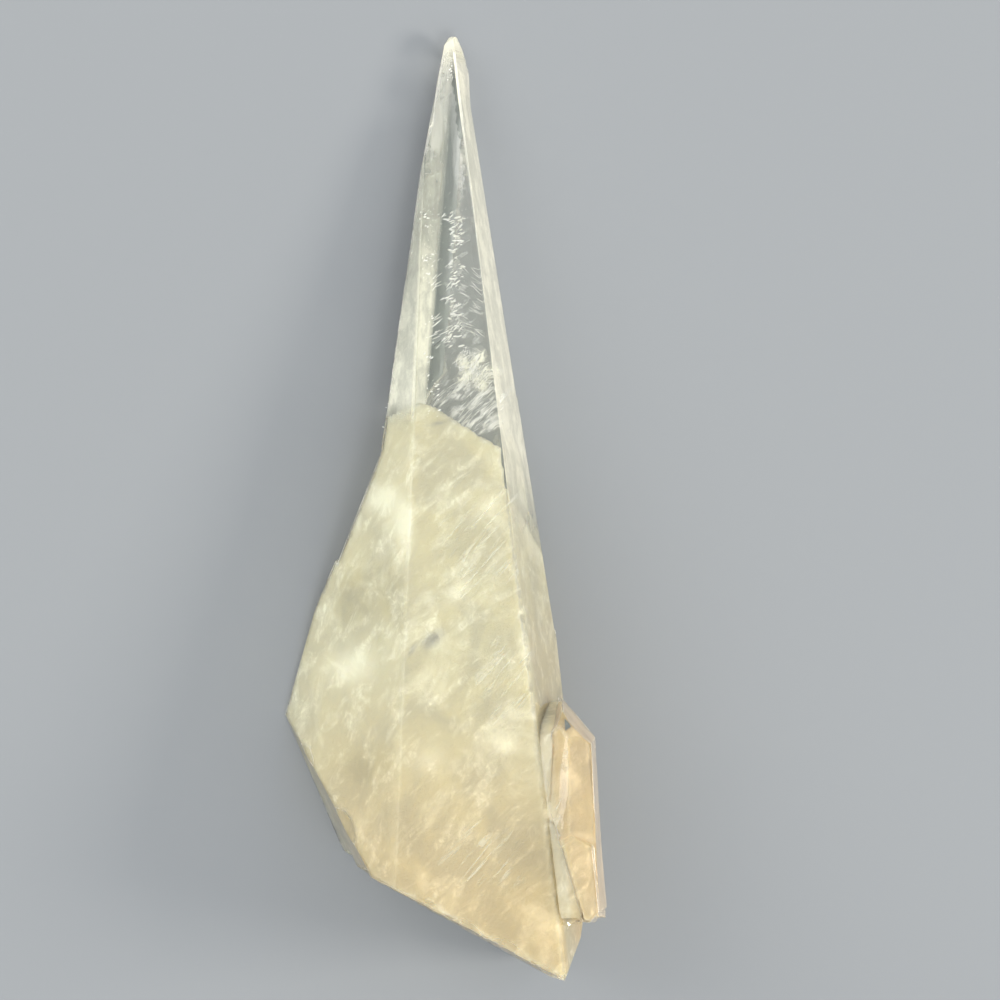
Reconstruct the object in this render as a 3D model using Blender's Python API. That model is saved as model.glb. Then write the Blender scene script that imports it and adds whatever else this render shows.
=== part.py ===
"""Calcite specimen: a slender dogtooth point with a broad left flank, a broken base and small side crystals.

The crystal is modelled upright, with +Z along its long axis to the tip, -Y as its front and +X as its
right. It is then laid on its flat back face, with the tip towards +Y, because it can't stand by itself.

A face is given by its azimuth, in degrees round from the front towards the right, by its reach, the
distance from its crystal's axis at the axis point's level, and by its taper, what it loses in reach per
unit of height. Steps, ledges and chips are all made in one way: a wedge cutter takes away what lies on the
outer side of each of its planes.
"""

import math
from typing import NamedTuple

import bmesh
import bpy
from mathutils import Matrix, Vector

MM = 0.001
BLOCK_SIZE = 400 * MM
CUT_TOLERANCE = 1e-7
UP = Vector((0.0, 0.0, 1.0))
AXIS = Vector((0.0, 0.0, 37.3 * MM))

CALCITE_COLOUR = (0.80, 0.76, 0.62, 1.0)
CALCITE_ROUGHNESS = 0.12
CALCITE_INDEX = 1.6
CALCITE_TRANSMISSION = 0.6


def heading(azimuth):
    """Level unit vector, AZIMUTH degrees round from the front towards the right."""
    angle = math.radians(azimuth)
    return Vector((math.sin(angle), -math.cos(angle), 0.0))


def facing(azimuth, rise):
    """Unit vector towards AZIMUTH, RISE degrees above level."""
    return heading(azimuth) * math.cos(math.radians(rise)) + UP * math.sin(math.radians(rise))


class Plane(NamedTuple):
    point: Vector
    normal: Vector

    def flipped(self):
        return Plane(self.point, -self.normal)

    def deeper(self, depth):
        """The plane, moved inwards."""
        return Plane(self.point - self.normal * depth, self.normal)


class Face(NamedTuple):
    """A flat face that runs up a crystal."""

    azimuth: float
    reach: float
    taper: float

    def plane(self, axis=AXIS):
        outward = heading(self.azimuth)
        return Plane(axis + outward * self.reach, (outward + UP * self.taper).normalized())

    def point(self, x, z):
        """The point of the main crystal's face at right-hand distance X and height Z."""
        outward = heading(self.azimuth)
        reach = self.reach - self.taper * (z - AXIS.z)
        return Vector((x, (reach - outward.x * x) / outward.y, z))


class SideCrystal(NamedTuple):
    """A small crystal, its faces round its own axis point, and its ends as points and headings."""

    name: str
    axis: Vector
    faces: tuple
    ends: tuple


class Chip(NamedTuple):
    """A shell-shaped chip: the two planes whose edge it bites, where along it, its radius and its depth."""

    name: str
    planes: tuple
    x: float
    radius: float
    bite: float


# The six faces of the point.
LEFT = Face(-45.0, 8.02 * MM, 0.107)
MIDDLE = Face(-7.0, 7.15 * MM, 0.118)
RIGHT = Face(75.0, 8.68 * MM, 0.151)
BACK_RIGHT = Face(113.0, 10.45 * MM, 0.148)
BACK = Face(195.0, 8.10 * MM, 0.100)
BACK_LEFT = Face(233.0, 6.42 * MM, 0.100)

# Narrow faces: the steeper sides of the tip, the bevel of the front edge, and the straighter lower part of
# the right side.
TIP_RIGHT = Face(90.0, 11.36 * MM, 0.187)
TIP_LEFT = Face(-90.0, 11.60 * MM, 0.188)
FRONT_BEVEL = Face(34.0, 10.38 * MM, 0.178)
LOWER_RIGHT = Face(97.0, 10.50 * MM, 0.091)

# The worn tip is a small dome of flat facets, in rings of a rise in degrees and a number of facets.
TIP_CENTRE = Vector((-0.1 * MM, 0.3 * MM, 94.0 * MM))
TIP_RADIUS = 0.75 * MM
TIP_RINGS = ((34.0, 7), (62.0, 5), (90.0, 1))

# Corners of the left flank's outline, as right-hand distance and height on the left face.
KINK = (-7.5 * MM, 51.9 * MM)
FLANK_NICK = (-11.4 * MM, 42.2 * MM)
FLANK_WAIST = (-14.3 * MM, 36.4 * MM)
FLANK_CORNER = (-17.6 * MM, 25.1 * MM)
FLANK_FOOT = (-8.05 * MM, 9.5 * MM)
FLANK_LEVEL = 44.0 * MM
FLANK_AZIMUTH = -108.0
FLANK_LOWER_AZIMUTH = -95.0
NICK_LENGTH = 1.6 * MM
NICK_AZIMUTH = 40.0
NICK_RISE = 64.0
CLEAVAGE_AZIMUTH = -78.0

# The broken base faces down, left and a little to the front; two cuts take off its right corner.
BASE_POINT = (10.8 * MM, 0.25 * MM)
BASE_NORMAL = Vector((-0.47, -0.15, -0.87)).normalized()
CORNER_POINT = (10.8 * MM, -0.2 * MM)
CORNER_NORMAL = Vector((0.86, 0.0, -0.50)).normalized()
HEEL_POINT = Vector((12.6 * MM, -6.0 * MM, 2.3 * MM))
HEEL_NORMAL = Vector((0.95, 0.05, -0.27)).normalized()

SIDE_CRYSTALS = (
    SideCrystal(
        "side_crystal_back",
        Vector((11.6 * MM, -3.6 * MM, 19.2 * MM)),
        (Face(-30.0, 5.0 * MM, 0.06), Face(28.0, 4.2 * MM, 0.08), Face(84.0, 1.3 * MM, 0.05),
         Face(140.0, 3.2 * MM, 0.08), Face(200.0, 4.5 * MM, 0.05), Face(255.0, 5.0 * MM, 0.0)),
        ((Vector((11.3 * MM, -4.5 * MM, 26.4 * MM)), 76.0, 33.0),
         (Vector((12.7 * MM, -4.5 * MM, 24.3 * MM)), 84.0, 43.0),
         (Vector((11.0 * MM, -6.0 * MM, 25.4 * MM)), -14.0, 40.0),
         (Vector((10.8 * MM, -6.0 * MM, 25.2 * MM)), -80.0, 35.0),
         (Vector((13.0 * MM, -4.0 * MM, 6.2 * MM)), 120.0, -74.0)),
    ),
    SideCrystal(
        "side_crystal_front",
        Vector((12.2 * MM, -7.5 * MM, 19.2 * MM)),
        (Face(-40.0, 3.88 * MM, 0.132), Face(-20.0, 3.97 * MM, 0.104), Face(25.0, 3.28 * MM, 0.100),
         Face(82.0, 2.12 * MM, 0.052), Face(135.0, 2.60 * MM, 0.080), Face(200.0, 4.0 * MM, 0.0),
         Face(250.0, 4.5 * MM, 0.0)),
        ((Vector((11.7 * MM, -11.4 * MM, 23.2 * MM)), 22.0, 40.0),
         (Vector((11.4 * MM, -10.6 * MM, 24.7 * MM)), -12.0, 58.0),
         (Vector((10.4 * MM, -9.5 * MM, 25.2 * MM)), -80.0, 35.0),
         (Vector((9.45 * MM, -9.5 * MM, 22.4 * MM)), -80.0, 10.0),
         (Vector((13.2 * MM, -8.5 * MM, 24.05 * MM)), 75.0, 46.0),
         (Vector((10.2 * MM, -9.5 * MM, 14.0 * MM)), -80.0, -19.0),
         (Vector((13.0 * MM, -8.0 * MM, 5.6 * MM)), 20.0, -80.0)),
    ),
    SideCrystal(
        "side_crystal_foot",
        Vector((13.3 * MM, -8.2 * MM, 10.0 * MM)),
        (Face(-86.0, 2.05 * MM, -0.30), Face(22.0, 3.85 * MM, 0.085), Face(80.0, 1.45 * MM, 0.11),
         Face(138.0, 2.4 * MM, 0.06), Face(215.0, 3.2 * MM, 0.0)),
        ((Vector((11.2 * MM, -11.8 * MM, 14.4 * MM)), -32.0, 50.0),
         (Vector((14.6 * MM, -8.0 * MM, 13.0 * MM)), 86.0, 62.0),
         (Vector((13.0 * MM, -8.0 * MM, 5.2 * MM)), -10.0, -82.0),
         (Vector((15.0 * MM, -8.0 * MM, 6.4 * MM)), 78.0, -38.0)),
    ),
)

# Growth ledges: the face that lost a layer, the layer's thickness, and the height and slant of its brink.
LEDGES = (
    ("tip_ledge", TIP_RIGHT, 0.16 * MM, 92.1 * MM, 78.0),
    ("back_left_ledge", BACK_LEFT, 0.12 * MM, 62.0 * MM, 66.0),
    ("back_right_ledge_upper", BACK_RIGHT, 0.45 * MM, 58.0 * MM, 60.0),
    ("back_right_ledge_lower", BACK_RIGHT, 0.22 * MM, 33.0 * MM, 52.0),
)

# The steps of the broken base.
BASE_STEPS = 5
BASE_STEP_HEIGHT = 0.45 * MM
BASE_STEP_SPACING = 3.4 * MM
BASE_STEP_START = -6.0 * MM
BASE_STEP_AZIMUTH = -148.0
BASE_STEP_SWING = 17.0
BASE_STEP_PHASE = 2.4
BASE_RISER_RISE = -22.0
CHIP_SUBDIVISIONS = 3


def plane_through(first, second, azimuth):
    """The plane that holds two points and faces AZIMUTH."""
    along = second - first
    rise = -heading(azimuth).dot(along) / along.z
    return Plane(first, (heading(azimuth) + UP * rise).normalized())


def solid_within(planes):
    """The closed mesh of what lies on the inner side of every plane."""
    mesh = bmesh.new()
    bmesh.ops.create_cube(mesh, size=BLOCK_SIZE)
    for plane in planes:
        everything = mesh.verts[:] + mesh.edges[:] + mesh.faces[:]
        bmesh.ops.bisect_plane(mesh, geom=everything, dist=CUT_TOLERANCE, plane_co=plane.point,
                               plane_no=plane.normal, clear_outer=True)
        rim = [edge for edge in mesh.edges if edge.is_boundary]
        if rim:
            bmesh.ops.holes_fill(mesh, edges=rim, sides=0)
    bmesh.ops.recalc_face_normals(mesh, faces=mesh.faces[:])
    return mesh


def add_solid(name, mesh, parent):
    data = bpy.data.meshes.new(name)
    mesh.to_mesh(data)
    mesh.free()
    item = bpy.data.objects.new(name, data)
    item.parent = parent
    bpy.context.scene.collection.objects.link(item)
    return item


def combine(body, name, mesh, operation):
    """Adds a hidden solid to the body, or takes it away."""
    helper = add_solid(name, mesh, body.parent)
    helper.hide_render = True
    helper.display_type = "WIRE"
    step = body.modifiers.new(name, "BOOLEAN")
    step.operation = operation
    step.solver = "EXACT"
    step.object = helper


def cut_wedge(body, name, planes):
    """Takes away what lies on the outer side of every plane."""
    combine(body, name, solid_within([plane.flipped() for plane in planes]), "DIFFERENCE")


def edge_point(first, second, x):
    """The point at right-hand distance X on the edge where two planes meet."""
    rows = Matrix((Vector((1.0, 0.0, 0.0)), first.normal, second.normal))
    sides = Vector((x, first.normal.dot(first.point), second.normal.dot(second.point)))
    return rows.inverted() @ sides


def cut_chip(body, chip):
    """Takes a shallow shell-shaped bite out of an edge."""
    first, second = chip.planes
    outward = (first.normal + second.normal).normalized()
    centre = edge_point(first, second, chip.x) + outward * (chip.radius - chip.bite)
    mesh = bmesh.new()
    bmesh.ops.create_icosphere(mesh, subdivisions=CHIP_SUBDIVISIONS, radius=chip.radius,
                               matrix=Matrix.Translation(centre))
    combine(body, chip.name, mesh, "DIFFERENCE")


def tip_planes():
    planes = []
    for rise, count in TIP_RINGS:
        for index in range(count):
            normal = facing(360.0 * index / count + rise, rise)
            planes.append(Plane(TIP_CENTRE + normal * TIP_RADIUS, normal))
    return planes


def flank_cleavage():
    return plane_through(LEFT.point(*FLANK_CORNER), LEFT.point(*FLANK_FOOT), CLEAVAGE_AZIMUTH)


def flank_outline(lower_end):
    """The outline face of the flank from the kink down to a corner on the left face."""
    return plane_through(LEFT.point(*KINK), LEFT.point(*lower_end), FLANK_AZIMUTH)


def base():
    return Plane(MIDDLE.point(*BASE_POINT), BASE_NORMAL)


def body_planes():
    """The faces of the whole point before its flank is cut, with its worn tip and its broken lower end."""
    faces = (LEFT, MIDDLE, RIGHT, BACK_RIGHT, BACK, TIP_RIGHT, FRONT_BEVEL, LOWER_RIGHT)
    ends = [flank_cleavage(), base(), Plane(MIDDLE.point(*CORNER_POINT), CORNER_NORMAL),
            Plane(HEEL_POINT, HEEL_NORMAL)]
    return [face.plane() for face in faces] + tip_planes() + ends


def cut_flank(body):
    """Cuts the back left side in to the point's own faces above the kink, and trims the flank's outline."""
    upper = flank_outline(FLANK_WAIST)
    lower = plane_through(LEFT.point(*FLANK_WAIST), LEFT.point(*FLANK_CORNER), FLANK_LOWER_AZIMUTH)
    nick_end = Plane(LEFT.point(*FLANK_NICK) - UP * NICK_LENGTH, facing(NICK_AZIMUTH, NICK_RISE))
    cut_wedge(body, "shoulder", [BACK_LEFT.plane(), upper])
    cut_wedge(body, "tip_flank", [TIP_LEFT.plane(), upper])
    cut_wedge(body, "flank_nick", [BACK_LEFT.plane(), flank_outline(FLANK_NICK), nick_end])
    cut_wedge(body, "flank_outline", [lower, Plane(UP * FLANK_LEVEL, -UP)])


def cut_ledges(body):
    for name, face, thickness, level, rise in LEDGES:
        brink = Plane(UP * level, facing(face.azimuth + 90.0, rise))
        cut_wedge(body, name, [face.plane().deeper(thickness), brink])


def break_base(body):
    """Breaks the base in steps that get deeper towards the back left."""
    for index in range(1, BASE_STEPS + 1):
        azimuth = BASE_STEP_AZIMUTH + BASE_STEP_SWING * math.sin(BASE_STEP_PHASE * index)
        distance = BASE_STEP_START + BASE_STEP_SPACING * index
        riser = Plane(heading(azimuth) * distance, facing(azimuth, BASE_RISER_RISE))
        cut_wedge(body, f"base_step_{index}", [base().deeper(BASE_STEP_HEIGHT * index), riser])


def join_side_crystals(body):
    for crystal in SIDE_CRYSTALS:
        faces = [face.plane(crystal.axis) for face in crystal.faces]
        ends = [Plane(point, facing(azimuth, rise)) for point, azimuth, rise in crystal.ends]
        combine(body, crystal.name, solid_within(faces + ends), "UNION")


def chip_edges(body):
    """Chips the brittle edges: the front of the base, the foot of the flank, its outline and the tip."""
    middle, left = MIDDLE.plane(), LEFT.plane()
    for chip in (
        Chip("base_chip_left", (base(), middle), -2.6 * MM, 5.5 * MM, 0.55 * MM),
        Chip("base_chip_middle", (base(), middle), 1.4 * MM, 4.0 * MM, 0.50 * MM),
        Chip("base_chip_right", (base(), middle), 5.6 * MM, 6.5 * MM, 0.60 * MM),
        Chip("base_chip_corner", (base(), middle), 9.2 * MM, 3.0 * MM, 0.35 * MM),
        Chip("cleavage_chip_upper", (flank_cleavage(), left), -15.2 * MM, 4.5 * MM, 0.35 * MM),
        Chip("cleavage_chip_lower", (flank_cleavage(), left), -11.0 * MM, 6.0 * MM, 0.60 * MM),
        Chip("outline_chip", (flank_outline(FLANK_WAIST), left), -13.4 * MM, 1.6 * MM, 0.16 * MM),
        Chip("tip_chip", (TIP_LEFT.plane(), left), -2.30 * MM, 2.6 * MM, 0.14 * MM),
    ):
        cut_chip(body, chip)


def make_material():
    material = bpy.data.materials.new("calcite")
    material.use_nodes = True
    shader = material.node_tree.nodes["Principled BSDF"]
    shader.inputs["Base Color"].default_value = CALCITE_COLOUR
    shader.inputs["Roughness"].default_value = CALCITE_ROUGHNESS
    shader.inputs["IOR"].default_value = CALCITE_INDEX
    shader.inputs["Transmission Weight"].default_value = CALCITE_TRANSMISSION
    return material


def lay_down(body, rest):
    """Turns the crystal so that its back face lies at the bottom, and centres its box over the origin."""
    above = -BACK.plane().normal
    along = (UP - above * UP.dot(above)).normalized()
    turn = Matrix((along.cross(above), along, above)).to_4x4()
    bpy.context.view_layer.update()
    shape = body.evaluated_get(bpy.context.evaluated_depsgraph_get()).to_mesh()
    along_x, along_y, along_z = zip(*(turn @ vertex.co for vertex in shape.vertices))
    middle_x = (min(along_x) + max(along_x)) / 2
    middle_y = (min(along_y) + max(along_y)) / 2
    rest.matrix_world = Matrix.Translation((-middle_x, -middle_y, -min(along_z))) @ turn


def main():
    for item in list(bpy.data.objects):
        bpy.data.objects.remove(item)
    rest = bpy.data.objects.new("rest", None)
    bpy.context.scene.collection.objects.link(rest)
    crystal = add_solid("calcite_crystal", solid_within(body_planes()), rest)
    crystal.data.materials.append(make_material())
    cut_flank(crystal)
    cut_ledges(crystal)
    break_base(crystal)
    join_side_crystals(crystal)
    chip_edges(crystal)
    lay_down(crystal, rest)


main()
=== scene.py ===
"""Looks of a calcite specimen: a clear point over a milky body, with veils, feathers and flecks inside.

Places inside the crystal are measured on the upright crystal: X to its right, Y away from its front and
Z up its long axis. A Placement takes them to where the crystal lies. Lengths are in metres, except in
hazes, sheets, rows, spots, grains and patches, which are given in millimetres.
"""

import logging
import math
from dataclasses import dataclass, field
from enum import Enum

import bmesh
import bpy
import numpy as np
from mathutils import Matrix, Vector, geometry, noise

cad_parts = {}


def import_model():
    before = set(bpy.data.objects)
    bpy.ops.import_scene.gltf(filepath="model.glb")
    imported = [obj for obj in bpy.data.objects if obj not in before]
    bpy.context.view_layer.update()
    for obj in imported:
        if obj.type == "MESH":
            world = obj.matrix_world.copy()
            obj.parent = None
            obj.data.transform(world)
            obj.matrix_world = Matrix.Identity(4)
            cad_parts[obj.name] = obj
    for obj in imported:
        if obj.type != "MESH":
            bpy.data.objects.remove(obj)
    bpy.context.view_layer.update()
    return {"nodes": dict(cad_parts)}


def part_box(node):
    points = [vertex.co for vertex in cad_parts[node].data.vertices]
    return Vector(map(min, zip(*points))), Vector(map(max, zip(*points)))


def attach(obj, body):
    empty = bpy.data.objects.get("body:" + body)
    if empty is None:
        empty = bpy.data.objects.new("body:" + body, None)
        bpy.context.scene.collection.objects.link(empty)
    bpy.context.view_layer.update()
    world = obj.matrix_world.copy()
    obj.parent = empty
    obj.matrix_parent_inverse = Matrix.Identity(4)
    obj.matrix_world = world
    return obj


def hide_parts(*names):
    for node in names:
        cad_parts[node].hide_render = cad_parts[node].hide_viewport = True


MM = 0.001
UP = Vector((0.0, 0.0, 1.0))
NODE = "calcite_crystal"
SKIN = "crystal_skin"
BODY = "root"
LOG = logging.getLogger("calcite")
MERGE = 0.003 * MM
RIM_CLEARANCE = 0.55
MOST_MENDS = 4
RIDGE_FOOT = 0.2 * MM
RIDGE_LEAN = 0.119
RIDGE_TOP = 92.8 * MM
UPRIGHT_TIP = Vector((0.001 * MM, 0.092 * MM, 94.75 * MM))
LAMP_TARGET = Vector((0.0, 0.0, 0.01))


class Reach(Enum):
    """How far round the crystal a haze lies."""

    ONE_FACE = "one face"
    ALL_ROUND = "all round"
    WORN_EDGES = "worn edges"
    SIDE_WALLS = "walls beside the point"


@dataclass(frozen=True)
class Span:
    """A start and a length, over which something comes in or dies away."""

    start: float
    length: float

    def rising(self, values: np.ndarray) -> np.ndarray:
        """0 up to the start, and 1 from a length above it."""
        return np.clip((values - self.start) / self.length, 0.0, 1.0)

    def falling(self, values: np.ndarray) -> np.ndarray:
        """0 from the start up, and 1 from a length below it."""
        return np.clip((self.start - values) / self.length, 0.0, 1.0)


# ---- Places on the crystal ----


@dataclass(frozen=True)
class CrystalFace:
    """A flat face of the upright crystal: its azimuth round from the front, its reach from the axis at
    its level, and the reach it loses per unit of height."""

    azimuth: float
    reach: float
    taper: float
    level: float = 37.3 * MM

    def outward(self) -> Vector:
        """The level unit vector that the face looks along."""
        angle = math.radians(self.azimuth)
        return Vector((math.sin(angle), -math.cos(angle), 0.0))

    def normal(self) -> Vector:
        """The unit normal of the face."""
        return (self.outward() + UP * self.taper).normalized()

    def match(self, normals: np.ndarray) -> np.ndarray:
        """How nearly each of some normals is the face's own, up to 1."""
        return normals @ np.array(self.normal())

    def point(self, x: float, z: float, depth: float = 0.0) -> Vector:
        """Finds a point under the face.

        Args:
            x: distance to the right of the axis.
            z: height.
            depth: distance below the face.

        Returns:
            The point on the upright crystal.
        """
        outward = self.outward()
        reach = self.reach - self.taper * (z - self.level)
        return Vector((x, (reach - outward.x * x) / outward.y, z)) - self.normal() * depth


LEFT = CrystalFace(-45.0, 8.02 * MM, 0.107)
MIDDLE = CrystalFace(-7.0, 7.15 * MM, 0.118)
RIGHT = CrystalFace(75.0, 8.68 * MM, 0.151)
BACK = CrystalFace(195.0, 8.10 * MM, 0.100)
FRONT_BEVEL = CrystalFace(34.0, 10.38 * MM, 0.178)
BACK_LEFT = CrystalFace(233.0, 6.42 * MM, 0.100)


def ridge_x(height: float) -> float:
    """Where the ridge between the middle and right faces lies at a height, to the right of the axis."""
    return RIDGE_FOOT + RIDGE_LEAN * (RIDGE_TOP - height)


@dataclass(frozen=True)
class Placement:
    """Takes places on the upright crystal to where it lies on its back face."""

    matrix: Matrix

    @classmethod
    def of_node(cls, node: bpy.types.Object) -> "Placement":
        """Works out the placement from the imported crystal.

        Args:
            node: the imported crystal's object.

        Returns:
            The placement.
        """
        above = -BACK.normal()
        along = (UP - above * UP.dot(above)).normalized()
        turn = Matrix((along.cross(above), along, above))
        lying_tip = max((vertex.co for vertex in node.data.vertices), key=lambda place: place.y)
        return cls(Matrix.Translation(lying_tip - turn @ UPRIGHT_TIP) @ turn.to_4x4())

    def place(self, point: Vector) -> Vector:
        """A point of the upright crystal, where it lies."""
        return self.matrix @ point

    def direction(self, vector: Vector) -> Vector:
        """A direction on the upright crystal, as it lies."""
        return self.matrix.to_3x3() @ vector

    def upright(self) -> Matrix:
        """The matrix that stands the lying crystal up again."""
        return self.matrix.inverted()

    def pattern_turn(self) -> tuple[float, float, float]:
        """The Euler angles that turn a lying pattern upright."""
        return tuple(self.matrix.to_3x3().inverted().to_euler())


# ---- Mesh helpers ----


def add_piece(name: str, mesh: bpy.types.Mesh) -> bpy.types.Object:
    """Links a new object for a mesh.

    Args:
        name: the object's name.
        mesh: its mesh, already in place.

    Returns:
        The object.
    """
    mesh.name = name
    piece = bpy.data.objects.new(name, mesh)
    bpy.context.scene.collection.objects.link(piece)
    return piece


def riding(piece: bpy.types.Object) -> bpy.types.Object:
    """Makes a piece ride on the crystal's body.

    Args:
        piece: the piece.

    Returns:
        The same piece.
    """
    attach(piece, BODY)
    return piece


def finished(name: str, mesh: bpy.types.Mesh, material: bpy.types.Material,
             crease: float | None = None) -> bpy.types.Object:
    """Dresses a mesh and makes it a piece that rides with the crystal.

    Args:
        name: the piece's name.
        mesh: its mesh, already in place.
        material: its finish.
        crease: the angle from which its edges are keen, or None where all are soft.

    Returns:
        The piece.
    """
    mesh.materials.append(material)
    mesh.shade_smooth()
    if crease is not None:
        mesh.set_sharp_from_angle(angle=crease)
    return riding(add_piece(name, mesh))


def settled(name: str, mesh: bmesh.types.BMesh) -> bpy.types.Mesh:
    """Turns an edit mesh into a plain one.

    Args:
        name: the plain mesh's name.
        mesh: the edit mesh, which is used up.

    Returns:
        The plain mesh.
    """
    data = bpy.data.meshes.new(name)
    mesh.to_mesh(data)
    mesh.free()
    return data


def baked(piece: bpy.types.Object) -> bpy.types.Mesh:
    """Turns an object's modifiers into a plain mesh.

    Args:
        piece: the object, which loses its modifiers and its old mesh.

    Returns:
        The new mesh, already on the object.
    """
    bpy.context.view_layer.update()
    graph = bpy.context.evaluated_depsgraph_get()
    mesh = bpy.data.meshes.new_from_object(piece.evaluated_get(graph))
    old, name = piece.data, piece.name
    piece.modifiers.clear()
    piece.data = mesh
    bpy.data.meshes.remove(old)
    mesh.name = name
    return mesh


def remeshed(piece: bpy.types.Object, voxel: float) -> bpy.types.Mesh:
    """Rebuilds an object's mesh from voxels.

    Args:
        piece: the object.
        voxel: the voxels' size.

    Returns:
        The new mesh, already on the object.
    """
    step = piece.modifiers.new("remesh", "REMESH")
    step.mode = "VOXEL"
    step.voxel_size = voxel
    step.use_smooth_shade = True
    return baked(piece)


def points_of(mesh: bpy.types.Mesh, what: str = "co") -> np.ndarray:
    """Reads a mesh's vertices.

    Args:
        mesh: the mesh.
        what: "co" for their positions, or "normal" for their normals.

    Returns:
        One row of three for each vertex.
    """
    values = np.empty(len(mesh.vertices) * 3, np.float32)
    mesh.vertices.foreach_get(what, values)
    return values.reshape(-1, 3).astype(float)


def set_points(mesh: bpy.types.Mesh, points: np.ndarray) -> None:
    """Moves a mesh's vertices."""
    mesh.vertices.foreach_set("co", points.astype(np.float32).ravel())
    mesh.update()


def set_attribute(mesh: bpy.types.Mesh, name: str, values: np.ndarray) -> None:
    """Stores one number for each vertex."""
    layer = mesh.attributes.new(name, "FLOAT", "POINT")
    layer.data.foreach_set("value", values.astype(np.float32))


def noise_at(points: np.ndarray, grain: tuple, offset: float = 0.0, octaves: int = 1) -> np.ndarray:
    """Reads smooth noise at many points.

    Args:
        points: the points, as rows of three.
        grain: the size of the noise's grain along each axis.
        offset: moves the pattern, so that two uses differ.
        octaves: how many halvings of the grain are added.

    Returns:
        One value from about -1 to 1 for each point.
    """
    scaled = points / np.array(Vector(grain)) + offset
    if octaves == 1:
        return np.array([noise.noise(Vector(place)) for place in scaled])
    return np.array([noise.fractal(Vector(place), 1.0, 2.0, octaves) for place in scaled])


def between_rows(rows: tuple, between: int) -> tuple[np.ndarray, list[np.ndarray]]:
    """Adds even rows between those of a table.

    Args:
        rows: the table's rows.
        between: how many steps lead from one row to the next.

    Returns:
        Where each new row lies, counted in old rows, and the new values of each column.
    """
    places = np.linspace(0.0, len(rows) - 1.0, (len(rows) - 1) * between + 1)
    return places, [np.interp(places, range(len(rows)), column) for column in zip(*rows)]


def quads(count: int, columns: int, flip: bool = False) -> list[tuple]:
    """Joins a grid of points, row by row, into four-cornered faces.

    Args:
        count: how many points there are.
        columns: how many points are in a row.
        flip: whether the faces look the other way.

    Returns:
        The faces' corners, as places in the list of points.
    """
    others = (1, columns + 1, columns) if flip else (columns, columns + 1, 1)
    return [(first, *(first + step for step in others))
            for first in range(count - columns) if (first + 1) % columns]


def split_edges(mesh: bmesh.types.BMesh, spacing: float) -> None:
    """Splits every edge into equal stretches, and leaves the faces whole.

    Args:
        mesh: the mesh.
        spacing: the most that a stretch may be long.
    """
    for edge in list(mesh.edges):
        count = math.ceil(edge.calc_length() / spacing)
        start = edge.verts[0]
        for left in range(count, 1, -1):
            edge, start = bmesh.utils.edge_split(edge, start, 1.0 / left)
            edge = next(other for other in start.link_edges if other is not edge)


def fill_face(face: bmesh.types.BMFace, spacing: float) -> tuple[list[Vector], list[tuple], list]:
    """Covers one flat face with even triangles.

    Args:
        face: the face, its rim already split.
        spacing: the distance between the points inside it.

    Returns:
        The points, the triangles as places in that list, and each point's place on the rim or None.
    """
    rim = [vertex.co for vertex in face.verts]
    centre = face.calc_center_median()
    across = (rim[1] - rim[0]).normalized()
    up = face.normal.cross(across)
    flat_rim = np.array([((place - centre).dot(across), (place - centre).dot(up)) for place in rim])
    low, high = flat_rim.min(0), flat_rim.max(0)
    inner = []
    for row, height in enumerate(np.arange(low[1], high[1], spacing * math.sqrt(0.75))):
        shift = spacing / 2 * (row % 2)
        inner += [(place, height) for place in np.arange(low[0] + shift, high[0], spacing)]
    inner = np.array(inner).reshape(-1, 2)
    if len(inner):
        gaps = np.array([np.hypot(*(flat_rim - place).T).min() for place in inner])
        inner = inner[gaps > spacing * RIM_CLEARANCE]
    places = [Vector(place) for place in np.vstack([flat_rim, inner]) / spacing]
    found = geometry.delaunay_2d_cdt(places, [], [list(range(len(rim)))], 1, 1e-6)
    points = [centre + (across * place.x + up * place.y) * spacing for place in found[0]]
    firsts = [ids[0] if ids and ids[0] < len(rim) else None for ids in found[3]]
    points = [rim[first] if first is not None else place for first, place in zip(firsts, points)]
    return points, [tuple(triangle) for triangle in found[2]], firsts


def tessellated(mesh: bmesh.types.BMesh, spacing: float) -> bmesh.types.BMesh:
    """Rebuilds a mesh of flat faces from even triangles.

    Args:
        mesh: the mesh, which is used up.
        spacing: the length of the triangles' edges.

    Returns:
        The new mesh.
    """
    split_edges(mesh, spacing)
    mesh.normal_update()
    made = bmesh.new()
    mesh.verts.index_update()
    shared = [made.verts.new(vertex.co) for vertex in mesh.verts]
    for face in mesh.faces:
        rim = [vertex.index for vertex in face.verts]
        points, triangles, firsts = fill_face(face, spacing)
        corners = [shared[rim[first]] if first is not None else None for first in firsts]
        for triangle in triangles:
            for corner in triangle:
                if corners[corner] is None:
                    corners[corner] = made.verts.new(points[corner])
            made.faces.new([corners[corner] for corner in triangle])
    mesh.free()
    bmesh.ops.remove_doubles(made, verts=made.verts[:], dist=MERGE)
    bmesh.ops.dissolve_degenerate(made, edges=made.edges[:], dist=MERGE)
    mend(made)
    bmesh.ops.recalc_face_normals(made, faces=made.faces[:])
    return made


def mend(mesh: bmesh.types.BMesh) -> None:
    """Closes a mesh's slits, then cuts out the little that is still torn and closes it again.

    Args:
        mesh: the mesh, which is changed.
    """
    for _ in range(MOST_MENDS):
        rims = [edge for edge in mesh.edges if edge.is_boundary]
        slits = bmesh.ops.holes_fill(mesh, edges=rims, sides=0)
        bmesh.ops.triangulate(mesh, faces=slits["faces"])
        torn = {vertex for edge in mesh.edges if not edge.is_manifold for vertex in edge.verts}
        if not torn:
            break
        around = {face for vertex in torn for face in vertex.link_faces}
        bmesh.ops.delete(mesh, geom=list(around), context="FACES")


# ---- Node helpers ----


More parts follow.
